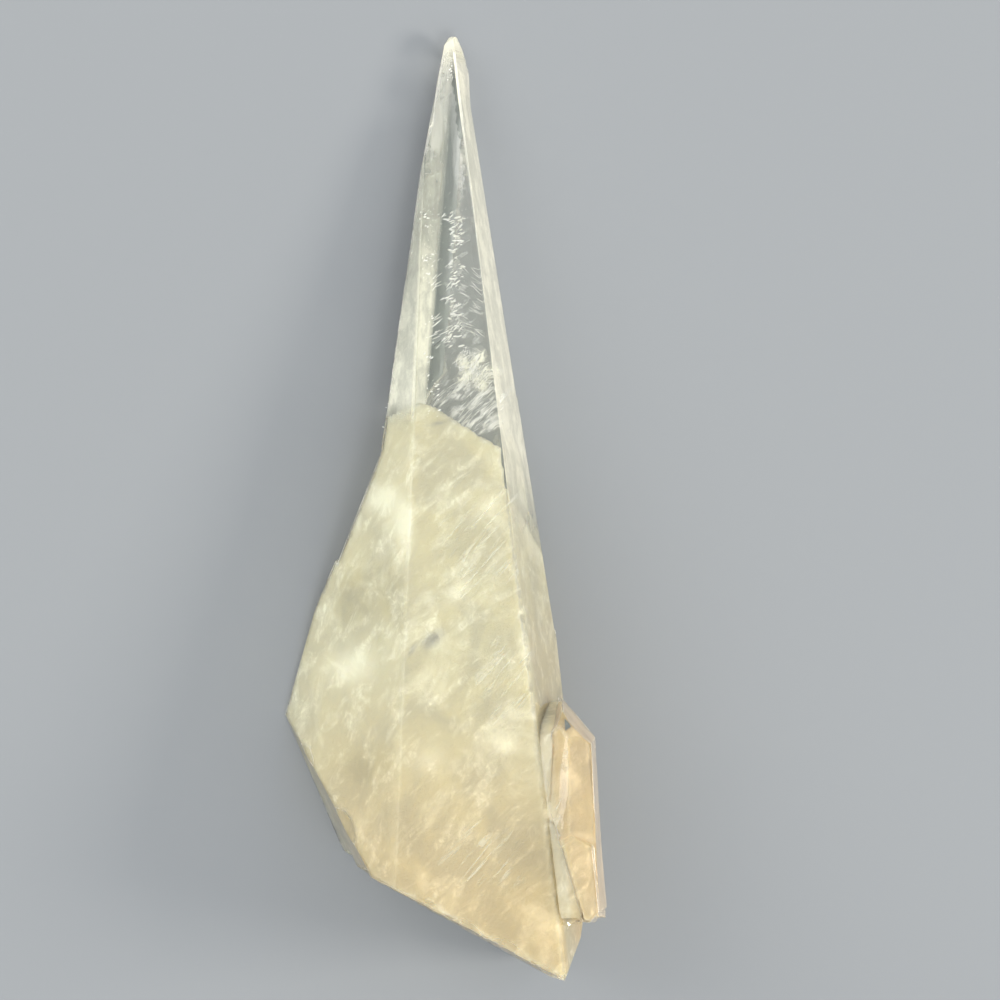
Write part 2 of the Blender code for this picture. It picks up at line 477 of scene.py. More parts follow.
@dataclass
class Wiring:
    """Adds nodes to one tree and links them."""

    tree: bpy.types.NodeTree

    def add(self, kind: str, *values: object, **settings: object) -> bpy.types.Node:
        """Adds a node.

        Args:
            kind: the node's type name.
            values: what goes into its inputs, in order: a socket, a constant, or None to pass one by.
            settings: properties by name, or what goes into an input, under the input's name.

        Returns:
            The node.
        """
        node = self.tree.nodes.new(kind)
        for name, value in settings.items():
            if hasattr(node, name):
                setattr(node, name, value)
            else:
                self.put(node.inputs[name.replace("_", " ")], value)
        for socket, value in zip(node.inputs, values):
            self.put(socket, value)
        return node

    def put(self, socket: bpy.types.NodeSocket, value: object) -> None:
        """Gives an input a link or a constant.

        Args:
            socket: the input.
            value: a socket to link, a constant, or None to leave the input as it is.
        """
        if isinstance(value, bpy.types.NodeSocket):
            self.tree.links.new(value, socket)
        elif value is not None:
            socket.default_value = value

    def fill(self, node: bpy.types.Node, values: dict[str, object]) -> None:
        """Gives a node's inputs links or constants by name."""
        for name, value in values.items():
            self.put(node.inputs[name], value)

    def math(self, operation: str, *values: object, clamp: bool = False) -> bpy.types.NodeSocket:
        """Adds a Math node and returns its output."""
        return self.add("ShaderNodeMath", *values, operation=operation, use_clamp=clamp).outputs[0]

    def blend(self, factor: object, first: object, second: object) -> bpy.types.NodeSocket:
        """Adds a colour Mix node, whose colours are its inputs 6 and 7, and returns its output."""
        values = (factor, *[None] * 5, first, second)
        return self.add("ShaderNodeMix", *values, data_type="RGBA").outputs[2]

    def ramp(self, value: object, *ends: object) -> bpy.types.NodeSocket:
        """Adds a smooth Map Range node, from two ends to 0 and 1 or two more, and returns its output."""
        ends = ends if len(ends) == 4 else (*ends, 0.0, 1.0)
        return self.add("ShaderNodeMapRange", value, *ends, interpolation_type="SMOOTHSTEP").outputs[0]

    def attribute(self, name: str) -> bpy.types.NodeSocket:
        """Adds an Attribute node and returns its number."""
        return self.add("ShaderNodeAttribute", attribute_name=name).outputs["Fac"]

    def leaning(self, vector: bpy.types.NodeSocket, angle: float) -> bpy.types.NodeSocket:
        """Turns a vector round the Y axis by an angle in degrees, and returns it."""
        settings = {"rotation_type": "Y_AXIS", "Vector": vector, "Angle": math.radians(angle)}
        return self.add("ShaderNodeVectorRotate", **settings).outputs[0]


def new_group(name: str, inputs: dict[str, float], outputs: tuple[str, ...]
              ) -> tuple[Wiring, bpy.types.NodeOutputs]:
    """Makes an empty shader node group.

    Args:
        name: the group's name.
        inputs: its number inputs and their defaults; one named Vector becomes a vector input.
        outputs: the names of its number outputs.

    Returns:
        The wiring of the group, and what it is given.
    """
    tree = bpy.data.node_groups.new(name, "ShaderNodeTree")
    for label, value in inputs.items():
        kind = "NodeSocketVector" if label == "Vector" else "NodeSocketFloat"
        socket = tree.interface.new_socket(label, in_out="INPUT", socket_type=kind)
        if label != "Vector":
            socket.default_value = value
    for label in outputs:
        tree.interface.new_socket(label, in_out="OUTPUT", socket_type="NodeSocketFloat")
    wiring = Wiring(tree)
    return wiring, wiring.add("NodeGroupInput").outputs


@dataclass
class Effects:
    """The shader groups that several finishes share, set on a crystal that lies in its placement."""

    placement: Placement
    clouds: bpy.types.NodeTree = None
    grain: bpy.types.NodeTree = None

    def build(self) -> "Effects":
        """Makes the groups and returns the set."""
        self.clouds, self.grain = self.make_clouds(), self.make_grain()
        return self

    @staticmethod
    def make_clouds() -> bpy.types.NodeTree:
        """Makes soft clouds with torn rims: two noises, the second finer than the first.

        Returns:
            A group with the outputs Cloud, from 0 to 1, and Wisp, its finer threads.
        """
        inputs = {"Vector": 0.0, "Scale": 200.0, "Stretch": 1.0, "Low": 0.4, "High": 0.6}
        wiring, given = new_group("clouds", inputs, ("Cloud", "Wisp"))
        stretch = wiring.add("ShaderNodeCombineXYZ", 1.0, 1.0, given["Stretch"]).outputs[0]
        squeezed = wiring.add("ShaderNodeVectorMath", given["Vector"], stretch, operation="DIVIDE")
        soft = wiring.add("ShaderNodeTexNoise", Vector=squeezed.outputs[0], Scale=given["Scale"],
                          Detail=5.0, Roughness=0.62, Distortion=0.6)
        threads = wiring.add("ShaderNodeTexNoise", Vector=squeezed.outputs[0],
                             Scale=wiring.math("MULTIPLY", given["Scale"], 4.3), Detail=3.0,
                             Roughness=0.7, Distortion=1.6)
        wiring.add("NodeGroupOutput", Cloud=wiring.ramp(soft.outputs[0], given["Low"], given["High"]),
                   Wisp=wiring.ramp(threads.outputs[0], 0.42, 0.72))
        return wiring.tree

    @staticmethod
    def make_grain() -> bpy.types.NodeTree:
        """Makes a fine surface height: faint lines along the crystal's length and a little pitting.

        Returns:
            A group with the output Height.
        """
        wiring, given = new_group("fine_grain", {"Vector": 0.0, "Lines": 900.0, "Pits": 2500.0},
                                  ("Height",))
        along = wiring.add("ShaderNodeVectorMath", given["Vector"], (1.0, 1.0, 0.06),
                           operation="MULTIPLY")
        lines = wiring.add("ShaderNodeTexNoise", Vector=along.outputs[0], Scale=given["Lines"],
                           Detail=2.0)
        pits = wiring.add("ShaderNodeTexNoise", Vector=given["Vector"], Scale=given["Pits"],
                          Detail=1.0)
        sunk = wiring.ramp(pits.outputs[0], 0.62, 0.78, 0.0, -0.6)
        wiring.add("NodeGroupOutput", Height=wiring.math("ADD", lines.outputs[0], sunk))
        return wiring.tree

    def upright(self, wiring: Wiring) -> bpy.types.NodeSocket:
        """Adds Object coordinates, turned so that Z runs along the crystal.

        Args:
            wiring: the material's wiring.

        Returns:
            The turned coordinates.
        """
        coordinates = wiring.add("ShaderNodeTexCoord").outputs["Object"]
        turn = self.placement.pattern_turn()
        return wiring.add("ShaderNodeMapping", Vector=coordinates, Rotation=turn).outputs[0]

    def add_clouds(self, wiring: Wiring, vector: bpy.types.NodeSocket, scale: float,
                   stretch: float = 1.0, low: float = 0.4, high: float = 0.6) -> bpy.types.NodeOutputs:
        """Places the clouds group in a material.

        Args:
            wiring: the material's wiring.
            vector: the coordinates that it reads.
            scale: how fine the clouds are.
            stretch: how much longer they are along the crystal than across it.
            low: the noise where a cloud begins.
            high: the noise where it is full.

        Returns:
            The group's outputs.
        """
        return wiring.add("ShaderNodeGroup", node_tree=self.clouds, Vector=vector, Scale=scale,
                          Stretch=stretch, Low=low, High=high).outputs


def new_material(name: str) -> tuple[bpy.types.Material, Wiring, bpy.types.Node]:
    """Makes a material.

    Args:
        name: its name.

    Returns:
        The material, the wiring of its tree and its Principled BSDF.
    """
    material = bpy.data.materials.new(name)
    material.use_nodes = True
    return material, Wiring(material.node_tree), material.node_tree.nodes["Principled BSDF"]


# ---- Finishes ----


@dataclass(frozen=True)
class ClearCalcite:
    """The see-through skin: faintly cream, polished on its faces and frosted where it is worn."""

    tint: tuple = (0.985, 0.985, 0.97, 1.0)
    index: float = 1.6
    polish: float = 0.03
    frost: float = 0.42
    absorbed: tuple = (0.90, 0.925, 0.88, 1.0)
    density: float = 55.0
    bump: float = 0.12
    bump_depth: float = 0.02 * MM

    def material(self, effects: Effects) -> bpy.types.Material:
        """Builds the skin's material.

        Args:
            effects: the shared groups.

        Returns:
            The material.
        """
        material, wiring, shader = new_material("clear_calcite")
        grain = wiring.add("ShaderNodeGroup", node_tree=effects.grain, Vector=effects.upright(wiring))
        bump = wiring.add("ShaderNodeBump", Strength=self.bump, Distance=self.bump_depth,
                          Height=grain.outputs["Height"])
        roughness = wiring.ramp(wiring.attribute("worn"), 0.0, 1.0, self.polish, self.frost)
        wiring.fill(shader, {"Base Color": self.tint, "IOR": self.index, "Transmission Weight": 1.0,
                             "Roughness": roughness, "Normal": bump.outputs[0]})
        volume = wiring.add("ShaderNodeVolumeAbsorption", Color=self.absorbed, Density=self.density)
        shadow = wiring.add("ShaderNodeLightPath").outputs["Is Shadow Ray"]
        open_shader = wiring.add("ShaderNodeBsdfTransparent")
        mix = wiring.add("ShaderNodeMixShader", shadow, shader.outputs[0], open_shader.outputs[0])
        wiring.fill(material.node_tree.nodes["Material Output"],
                    {"Volume": volume.outputs[0], "Surface": mix.outputs[0]})
        return material


@dataclass(frozen=True)
class MilkyCalcite:
    """The cream growth zone: soft clouds of tiny inclusions, whiter and greyer by turns. It is warmer
    low down, on the side crystals and on their flank. Each tint comes in from one place to another:
    beyond the ridge, below a height, and in front of the axis."""

    cream: tuple = (0.64, 0.605, 0.42, 1.0)
    white: tuple = (0.89, 0.88, 0.72, 1.0)
    grey: tuple = (0.43, 0.42, 0.345, 1.0)
    broad: tuple = (210.0, 1.3, 0.36, 0.66)
    fine: tuple = (546.0, 2.4, 0.46, 0.68)
    billows: tuple = (147.0, 1.0, 0.50, 0.70)
    fine_lean: float = -45.0
    streak_share: float = 0.6
    soft_share: float = 0.55
    grey_share: float = 0.42
    warm: tuple = (1.0, 0.885, 0.745, 1.0)
    warm_below: tuple = (-12.0 * MM, -42.0 * MM)
    warm_before: tuple = (2.0 * MM, -11.0 * MM)
    side: tuple = (1.0, 0.86, 0.715, 1.0)
    side_beyond: tuple = (8.7 * MM, 10.0 * MM)
    side_below: tuple = (-17.0 * MM, -21.0 * MM)
    side_before: tuple = (-8.0 * MM, -11.0 * MM)
    flank: tuple = (0.97, 0.925, 0.885, 1.0)
    flank_beyond: tuple = (8.3 * MM, 8.6 * MM)
    flank_below: tuple = (-4.0 * MM, -18.0 * MM)
    glow: float = 0.55
    glow_radius: tuple = (1.0, 0.85, 0.6)
    glow_scale: float = 2.6 * MM
    bump: float = 0.4
    bump_depth: float = 0.15 * MM
    roughness: float = 0.6
    shine: float = 0.15

    def material(self, effects: Effects) -> bpy.types.Material:
        """Builds the milky body's material.

        Args:
            effects: the shared groups.

        Returns:
            The material.
        """
        material, wiring, shader = new_material("milky_calcite")
        vector = effects.upright(wiring)
        leaning = wiring.leaning(vector, self.fine_lean)
        broad = effects.add_clouds(wiring, vector, *self.broad)
        fine = effects.add_clouds(wiring, leaning, *self.fine)
        billows = effects.add_clouds(wiring, leaning, *self.billows)
        colour = self.clouded(wiring, broad, fine, billows)
        tinted = wiring.blend(1.0, colour, self.tint(wiring, vector))
        tinted.node.blend_type = "MULTIPLY"
        bump = wiring.add("ShaderNodeBump", Strength=self.bump, Distance=self.bump_depth,
                          Height=fine["Wisp"])
        wiring.fill(shader, {
            "Base Color": tinted, "Roughness": self.roughness, "Specular IOR Level": self.shine,
            "Subsurface Weight": self.glow, "Subsurface Radius": self.glow_radius,
            "Subsurface Scale": self.glow_scale, "Normal": bump.outputs[0]})
        return material

    def clouded(self, wiring: Wiring, broad: bpy.types.NodeOutputs, fine: bpy.types.NodeOutputs,
                billows: bpy.types.NodeOutputs) -> bpy.types.NodeSocket:
        """Mixes the cream with white and grey by the clouds and by the milk on the mesh, partly painted
        light.

        Args:
            wiring: the material's wiring.
            broad: broad clouds.
            fine: fine leaning clouds.
            billows: the largest clouds.

        Returns:
            The colour.
        """
        milk = wiring.attribute("milk")
        streaks = wiring.math("MULTIPLY", fine["Cloud"], broad["Wisp"])
        soft = wiring.math("MAXIMUM", billows["Cloud"],
                           wiring.math("MULTIPLY", fine["Cloud"], self.streak_share))
        soft = wiring.math("MULTIPLY", soft, self.soft_share)
        whiter = wiring.math("MULTIPLY_ADD", streaks, self.streak_share, soft)
        whiter = wiring.math("ADD", whiter, wiring.ramp(milk, 0.0, 1.0), clamp=True)
        greyer = wiring.math("MULTIPLY", broad["Cloud"], self.grey_share)
        greyer = wiring.math("ADD", greyer, wiring.ramp(milk, 0.0, -1.0), clamp=True)
        return wiring.blend(whiter, wiring.blend(greyer, self.cream, self.grey), self.white)

    def tint(self, wiring: Wiring, vector: bpy.types.NodeSocket) -> bpy.types.NodeSocket:
        """Works out what the colour is multiplied by, from place and from the warmth on the mesh.

        Args:
            wiring: the material's wiring.
            vector: the upright coordinates.

        Returns:
            The tint.
        """
        x, y, z = wiring.add("ShaderNodeSeparateXYZ", Vector=vector).outputs
        across = wiring.math("MULTIPLY_ADD", z, RIDGE_LEAN, x)
        low = wiring.math("MULTIPLY", wiring.ramp(z, *self.warm_below),
                          wiring.ramp(y, *self.warm_before))
        beside = wiring.math("MULTIPLY", wiring.ramp(across, *self.side_beyond),
                             wiring.ramp(y, *self.side_before))
        beside = wiring.math("MULTIPLY", beside, wiring.ramp(z, *self.side_below))
        beside = wiring.math("MAXIMUM", beside, wiring.attribute("warmth"))
        flank = wiring.math("MULTIPLY", wiring.ramp(across, *self.flank_beyond),
                            wiring.ramp(z, *self.flank_below))
        colour = (1.0, 1.0, 1.0, 1.0)
        for share, tint in ((low, self.warm), (flank, self.flank), (beside, self.side)):
            colour = wiring.blend(share, colour, tint)
        return colour


@dataclass(frozen=True)
class Bright:
    """Small bright inclusions: flecks, threads and feather blades."""

    name: str = "bright_inclusions"
    colour: tuple = (0.98, 0.98, 0.96, 1.0)
    shade: tuple = (0.93, 0.93, 0.87, 1.0)
    scale: float = 900.0
    roughness: float = 0.3

    def material(self, effects: Effects) -> bpy.types.Material:
        """Builds the inclusions' material.

        Args:
            effects: the shared groups.

        Returns:
            The material.
        """
        material, wiring, shader = new_material(self.name)
        cloud = effects.add_clouds(wiring, effects.upright(wiring), self.scale)["Cloud"]
        wiring.fill(shader, {"Base Color": wiring.blend(cloud, self.colour, self.shade),
                             "Roughness": self.roughness})
        return material


@dataclass(frozen=True)
class Haze:
    """A thin see-through veil, denser in its clouds."""

    name: str
    colour: tuple
    thin: float
    dense: float
    scale: float = 500.0
    stretch: float = 2.0
    low: float = 0.36
    high: float = 0.68
    threads: float = 0.2
    heading: float = 90.0
    roughness: float = 0.5

    def material(self, effects: Effects) -> bpy.types.Material:
        """Builds the veil's material.

        Args:
            effects: the shared groups.

        Returns:
            The material.
        """
        material, wiring, shader = new_material(self.name)
        leaning = wiring.leaning(effects.upright(wiring), self.heading - 90.0)
        clouds = effects.add_clouds(wiring, leaning, self.scale, self.stretch, self.low, self.high)
        body = wiring.ramp(clouds["Cloud"], 0.0, 1.0, self.thin, self.dense)
        threads = wiring.math("MULTIPLY", clouds["Wisp"], self.threads)
        veil = wiring.math("ADD", body, threads)
        alpha = wiring.math("MULTIPLY", veil, wiring.attribute("fade"), clamp=True)
        wiring.fill(shader, {"Alpha": alpha, "Base Color": self.colour, "Roughness": self.roughness})
        return material


@dataclass(frozen=True)
class Floor:
    """A plain matt floor."""

    colour: tuple = (0.315, 0.33, 0.343, 1.0)
    half_width: float = 3.0
    gap: float = 0.02 * MM
    roughness: float = 0.85
    shine: float = 0.2

    def build(self) -> bpy.types.Object:
        """Makes the floor.

        Returns:
            The floor's object.
        """
        signs = ((-1, -1), (1, -1), (1, 1), (-1, 1))
        corners = [(self.half_width * x, self.half_width * y, -self.gap) for x, y in signs]
        mesh = bpy.data.meshes.new("floor")
        mesh.from_pydata(corners, [], [(0, 1, 2, 3)])
        material, wiring, shader = new_material("matt_floor")
        wiring.fill(shader, {"Base Color": self.colour, "Roughness": self.roughness,
                             "Specular IOR Level": self.shine})
        mesh.materials.append(material)
        floor = add_piece("floor", mesh)
        return floor


# ---- The crystal ----


@dataclass
class CrystalSkin:
    """The clear outer crystal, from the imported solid: its edges worn, its faces faintly uneven. The
    shoulder and the nick of its point are in millimetres, the broken base is told by its normals."""

    longest_edge: float = 0.45 * MM
    bevel: float = 0.10 * MM
    bevel_profile: float = 0.6
    bevel_least_length: float = 1.2 * MM
    crease: float = math.radians(14.0)
    faint_match: float = 0.999
    flat: float = math.radians(0.5)
    least_edge: float = 0.03 * MM
    smooth_angle: float = math.radians(28.0)
    relief: float = 0.035 * MM
    relief_grain: tuple = (3.5 * MM, 3.5 * MM, 9.0 * MM)
    broken: Span = Span(0.75, 0.15)
    broken_relief: float = 0.22 * MM
    broken_grain: tuple = (1.3 * MM, 1.3 * MM, 1.3 * MM)
    broken_normal: tuple = (-0.47, -0.15, -0.87)
    shoulder: Span = Span(88.0, 3.0)
    shoulder_side: Span = Span(0.0, 0.4)
    shoulder_bulge: float = 0.33
    nick_foot: Span = Span(85.2, 0.7)
    nick_top: Span = Span(89.5, 3.7)
    nick_side: Span = Span(1.7, 0.5)
    nick_depth: float = 0.22
    wear_grain: tuple = (1.5 * MM, 1.5 * MM, 2.5 * MM)
    worn_tip: Span = Span(92.6 * MM, 1.2 * MM)
    fresh_ridge: Span = Span(0.8, 0.1)
    fresh_below: Span = Span(88.0 * MM, 10.0 * MM)
    freshness: float = 0.85
    base_wear: float = 0.5

    def base_mesh(self, node: bpy.types.Object, placement: Placement) -> bmesh.types.BMesh:
        """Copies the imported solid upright, as flat faces with their triangles joined.

        Args:
            node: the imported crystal's object.
            placement: how it lies.

        Returns:
            The closed mesh.
        """
        mesh = bmesh.new()
        mesh.from_mesh(node.data)
        bmesh.ops.remove_doubles(mesh, verts=mesh.verts[:], dist=self.least_edge)
        mesh.transform(placement.upright())
        for _ in range(2):
            flat = [edge for edge in mesh.edges if edge.calc_face_angle(math.inf) < self.flat]
            bmesh.ops.dissolve_edges(mesh, edges=flat, use_verts=False, use_face_split=False)
        return mesh

    def shape(self, node: bpy.types.Object, placement: Placement) -> bpy.types.Mesh:
        """Builds the skin's mesh, upright, with its wear stored on its vertices.

        Args:
            node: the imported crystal's object.
            placement: how it lies.

        Returns:
            The mesh.
        """
        mesh = self.base_mesh(node, placement)
        keen = [edge for edge in mesh.edges
                if self.is_keen(edge) and edge.calc_length() > self.bevel_least_length]
        bmesh.ops.bevel(mesh, geom=keen, offset=self.bevel, segments=2, profile=self.bevel_profile,
                        affect="EDGES", clamp_overlap=False)
        data = settled(SKIN, tessellated(mesh, self.longest_edge))
        self.roughen(data)
        return data

    def is_keen(self, edge: bmesh.types.BMEdge) -> bool:
        """Whether an edge is sharp, and not the faint one between the left and middle faces."""
        return edge.calc_face_angle(0.0) > self.crease and not self.is_faint(edge)

    def is_faint(self, edge: bmesh.types.BMEdge) -> bool:
        """Whether an edge is the faint one, with a face like the left one and one like the middle."""
        matches = [max(face.normal.dot(whole.normal()) for face in edge.link_faces)
                   for whole in (LEFT, MIDDLE)]
        return min(matches) > self.faint_match

    def roughen(self, data: bpy.types.Mesh) -> None:
        """Sinks the faces by a faint relief and the broken base by a coarser one, and stores the wear.

        Args:
            data: the mesh, which is changed.
        """
        points, normals = points_of(data), points_of(data, "normal")
        broken = self.broken.rising(normals @ np.array(Vector(self.broken_normal)))
        even = 0.5 + 0.5 * noise_at(points, self.relief_grain, 3.0)
        rough = 0.5 + 0.5 * noise_at(points, self.broken_grain, 11.0, 3)
        sunk = self.relief * even * (1 - broken) + self.broken_relief * rough * broken
        set_points(data, self.chipped(points - normals * sunk[:, None]))
        set_attribute(data, "worn", self.wear(data, points, broken))

    def chipped(self, points: np.ndarray) -> np.ndarray:
        """Rounds the right shoulder of the tip outwards and nicks the left outline below it.

        Args:
            points: the skin's points, which are changed.

        Returns:
            The same points.
        """
        across, height = points[:, 0] / MM, points[:, 2] / MM
        past_ridge = across - ridge_x(points[:, 2]) / MM
        shoulder = self.shoulder.rising(height) * self.shoulder_side.rising(past_ridge)
        nick = self.nick_foot.rising(height) * self.nick_top.falling(height)
        nick *= self.nick_side.rising(-across)
        points[:, 0] += (self.shoulder_bulge * shoulder + self.nick_depth * nick) * MM
        return points

    def wear(self, data: bpy.types.Mesh, points: np.ndarray, broken: np.ndarray) -> np.ndarray:
        """Works out how frosted each vertex is: keen edges, the tip and the broken base.

        Args:
            data: the mesh.
            points: its vertices before they were sunk.
            broken: 1 on the broken base and 0 elsewhere.

        Returns:
            One number from 0 to 1 for each vertex.
        """
        mesh = bmesh.new()
        mesh.from_mesh(data)
        keen = np.zeros(len(points))
        for edge in filter(self.is_keen, mesh.edges):
            for vertex in edge.verts:
                keen[vertex.index] = 1.0
        mesh.free()
        ridge = self.fresh_ridge.rising(FRONT_BEVEL.match(points_of(data, "normal")))
        keen *= 1.0 - self.freshness * ridge * self.fresh_below.falling(points[:, 2])
        patchy = 0.5 + 0.5 * noise_at(points, self.wear_grain, 7.0, 2)
        worn = keen * (0.25 + 0.75 * patchy) + self.base_wear * broken * (0.4 + 0.6 * patchy)
        return np.clip(worn + self.worn_tip.rising(points[:, 2]), 0.0, 1.0)

    def build(self, node: bpy.types.Object, placement: Placement, material: bpy.types.Material
              ) -> bpy.types.Object:
        """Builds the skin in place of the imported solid.

        Args:
            node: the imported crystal's object.
            placement: how it lies.
            material: its finish.

        Returns:
            The finished piece.
        """
        data = self.shape(node, placement)
        data.transform(placement.matrix)
        set_points(data, np.clip(points_of(data), *[np.array(corner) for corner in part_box(NODE)]))
        skin = finished(SKIN, data, material, self.smooth_angle)
        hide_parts(NODE)
        return skin


@dataclass(frozen=True)
class Patch:
    """A place on the milky body that is whiter, above 0, or greyer, below 0."""

    x: float
    z: float
    half_width: float
    half_height: float
    turn: float
    strength: float

    def milk(self, points: np.ndarray) -> np.ndarray:
        """Works out how much the patch adds at each point.

        Args:
            points: the points, as rows of three.

        Returns:
            Its strength in its middle, and less and less towards 0 outside.
        """
        turn = math.radians(self.turn)
        across, up = points[:, 0] - self.x * MM, points[:, 2] - self.z * MM
        first = (across * math.cos(turn) + up * math.sin(turn)) / (self.half_width * MM)
        second = (up * math.cos(turn) - across * math.sin(turn)) / (self.half_height * MM)
        return self.strength * np.exp(-(first ** 2 + second ** 2))


@dataclass
class MilkyHeart:
    """The cream body inside the lower crystal, cut off at the top along an old growth surface. The faces
    that are whiter, painted light on the left, and greyer, painted shade on the low right and under the
    ridge, are told by how nearly its normals match theirs."""

    patches: tuple
    depth: float = 0.17 * MM
    furthest: float = 3.0
    voxel: float = 0.30 * MM
    relief: float = 0.12 * MM
    relief_grain: tuple = (2.6 * MM, 2.6 * MM, 3.4 * MM)
    swell_top: float = 0.6
    pit: float = 0.7 * MM
    pit_milk: float = 0.6
    roof_relief: float = 0.45 * MM
    roof_level: float = 45.0 * MM
    roof_slope: Span = Span(0.6, 0.2)
    roof: tuple = (
        ((-4.9 * MM, -3.44 * MM, 57.1 * MM), (-0.412, 0.22, 0.86)),
        ((-2.7 * MM, -4.48 * MM, 57.5 * MM), (0.587, 0.22, 0.86)),
        ((-3.8 * MM, -4.20 * MM, 57.3 * MM), (0.05, 0.20, 0.97)),
    )
    right_side: CrystalFace = CrystalFace(105.0, 4.45 * MM, 0.0817)
    foot: tuple = (((5.5 * MM, -6.6 * MM, 48.5 * MM), (0.60, 0.30, 0.74)),)
    # Painted light: faces like the left one are made whiter.
    left_painted_light: float = 0.30
    left_match: Span = Span(0.85, 0.1)
    # Painted shade: faces like the right one are made greyer low down.
    right_painted_shade: float = 0.35
    right_match: Span = Span(0.8, 0.15)
    right_below: Span = Span(46.0 * MM, 14.0 * MM)
    # Painted shade: the body under the ridge bevel is made greyer.
    ridge_painted_shade: float = 0.6
    ridge_match: Span = Span(0.88, 0.08)
    base_white: float = 0.55
    base_match: Span = Span(0.5, 0.2)

    def inset(self, mesh: bmesh.types.BMesh) -> None:
        """Moves every corner inwards so that each flat face sinks by the depth.

        Args:
            mesh: the upright solid, with flat faces.
        """
        mesh.normal_update()
        moves = []
        for vertex in mesh.verts:
            normals = np.array([face.normal for face in vertex.link_faces])
            move = np.linalg.lstsq(normals, np.full(len(normals), -self.depth), rcond=0.2)[0]
            length = np.linalg.norm(move)
            moves.append(move * min(1.0, self.furthest * self.depth / max(length, 1e-9)))
        for vertex, move in zip(mesh.verts, moves):
            vertex.co += Vector(move)

    def shape(self, mesh: bmesh.types.BMesh) -> bpy.types.Object:
        """Shrinks the crystal's solid inwards, cuts its top and gives it cloudy relief.

        Args:
            mesh: the upright solid, which is used up.

        Returns:
            The body, still upright.
        """
        self.inset(mesh)
        side = self.right_side
        upper = self.cut(mesh, (*self.roof, (side.point(0.0, side.level), side.normal())))
        lower = self.cut(mesh, self.foot)
        mesh.free()
        lower.from_mesh(settled("upper_heart", upper))
        heart = add_piece("milky_heart", settled("milky_heart", lower))
        data = remeshed(heart, self.voxel)
        points, normals = points_of(data), points_of(data, "normal")
        swell = noise_at(points, self.relief_grain, 5.0, 3)
        milk = self.milk(points, normals)
        roofed = self.roof_slope.rising(normals[:, 2]) * (points[:, 2] > self.roof_level)
        relief = self.relief + self.roof_relief * roofed
        sunk = relief * np.clip(self.swell_top - swell, 0.0, self.swell_top + 1.0)
        sunk += self.pit * np.clip(-milk - self.pit_milk, 0.0, 1.0)
        set_points(data, points - normals * sunk[:, None])
        set_attribute(data, "milk", milk)
        return heart

    @staticmethod
    def cut(mesh: bmesh.types.BMesh, planes: tuple) -> bmesh.types.BMesh:
        """Copies a mesh and cuts off what lies outside some planes.

        Args:
            mesh: the mesh, which stays as it is.
            planes: a point and a normal for each plane.

        Returns:
            The cut copy, closed again.
        """
        cut = mesh.copy()
        for point, normal in planes:
            everything = cut.verts[:] + cut.edges[:] + cut.faces[:]
            bmesh.ops.bisect_plane(cut, geom=everything, dist=1e-7, plane_co=point, plane_no=normal,
                                   clear_outer=True)
            rims = [edge for edge in cut.edges if edge.is_boundary]
            bmesh.ops.holes_fill(cut, edges=rims, sides=0)
        return cut

    def milk(self, points: np.ndarray, normals: np.ndarray) -> np.ndarray:
        """Adds up the whiter and greyer faces, which are painted light and shade, and the patches.

        Args:
            points: the body's points, as rows of three.
            normals: its normals there.

        Returns:
            One number from -1, grey, to 1, white, for each point.
        """
        total = self.left_painted_light * self.left_match.rising(LEFT.match(normals))
        low = self.right_below.falling(points[:, 2])
        total -= self.right_painted_shade * low * self.right_match.rising(RIGHT.match(normals))
        total -= self.ridge_painted_shade * self.ridge_match.rising(FRONT_BEVEL.match(normals))
        total += self.base_white * self.base_match.rising(-normals[:, 2])
        for patch in self.patches:
            total += patch.milk(points)
        return np.clip(total, -1.0, 1.0)

    def build(self, mesh: bmesh.types.BMesh, placement: Placement, material: bpy.types.Material
              ) -> bpy.types.Object:
        """Builds the milky body inside the skin.

        Args:
            mesh: the upright solid of the outer crystal, which is used up.
            placement: how it lies.
            material: the body's finish.

        Returns:
            The finished piece.
        """
        heart = self.shape(mesh)
        heart.data.transform(placement.matrix)
        heart.data.shade_smooth()
        heart.data.materials.append(material)
        return riding(heart)


# ---- Inclusions ----


class Inclusion:
    """A small piece in the crystal. Each kind makes its own mesh."""

    name: str
    crease: float | None = None

    def mesh(self, placement: Placement) -> bpy.types.Mesh:
        """Makes the mesh, where the crystal lies."""
        raise NotImplementedError

    def build(self, placement: Placement, material: bpy.types.Material) -> bpy.types.Object:
        """Builds the piece.

        Args:
            placement: how the crystal lies.
            material: its finish.

        Returns:
            The finished piece.
        """
        return finished(self.name, self.mesh(placement), material, self.crease)


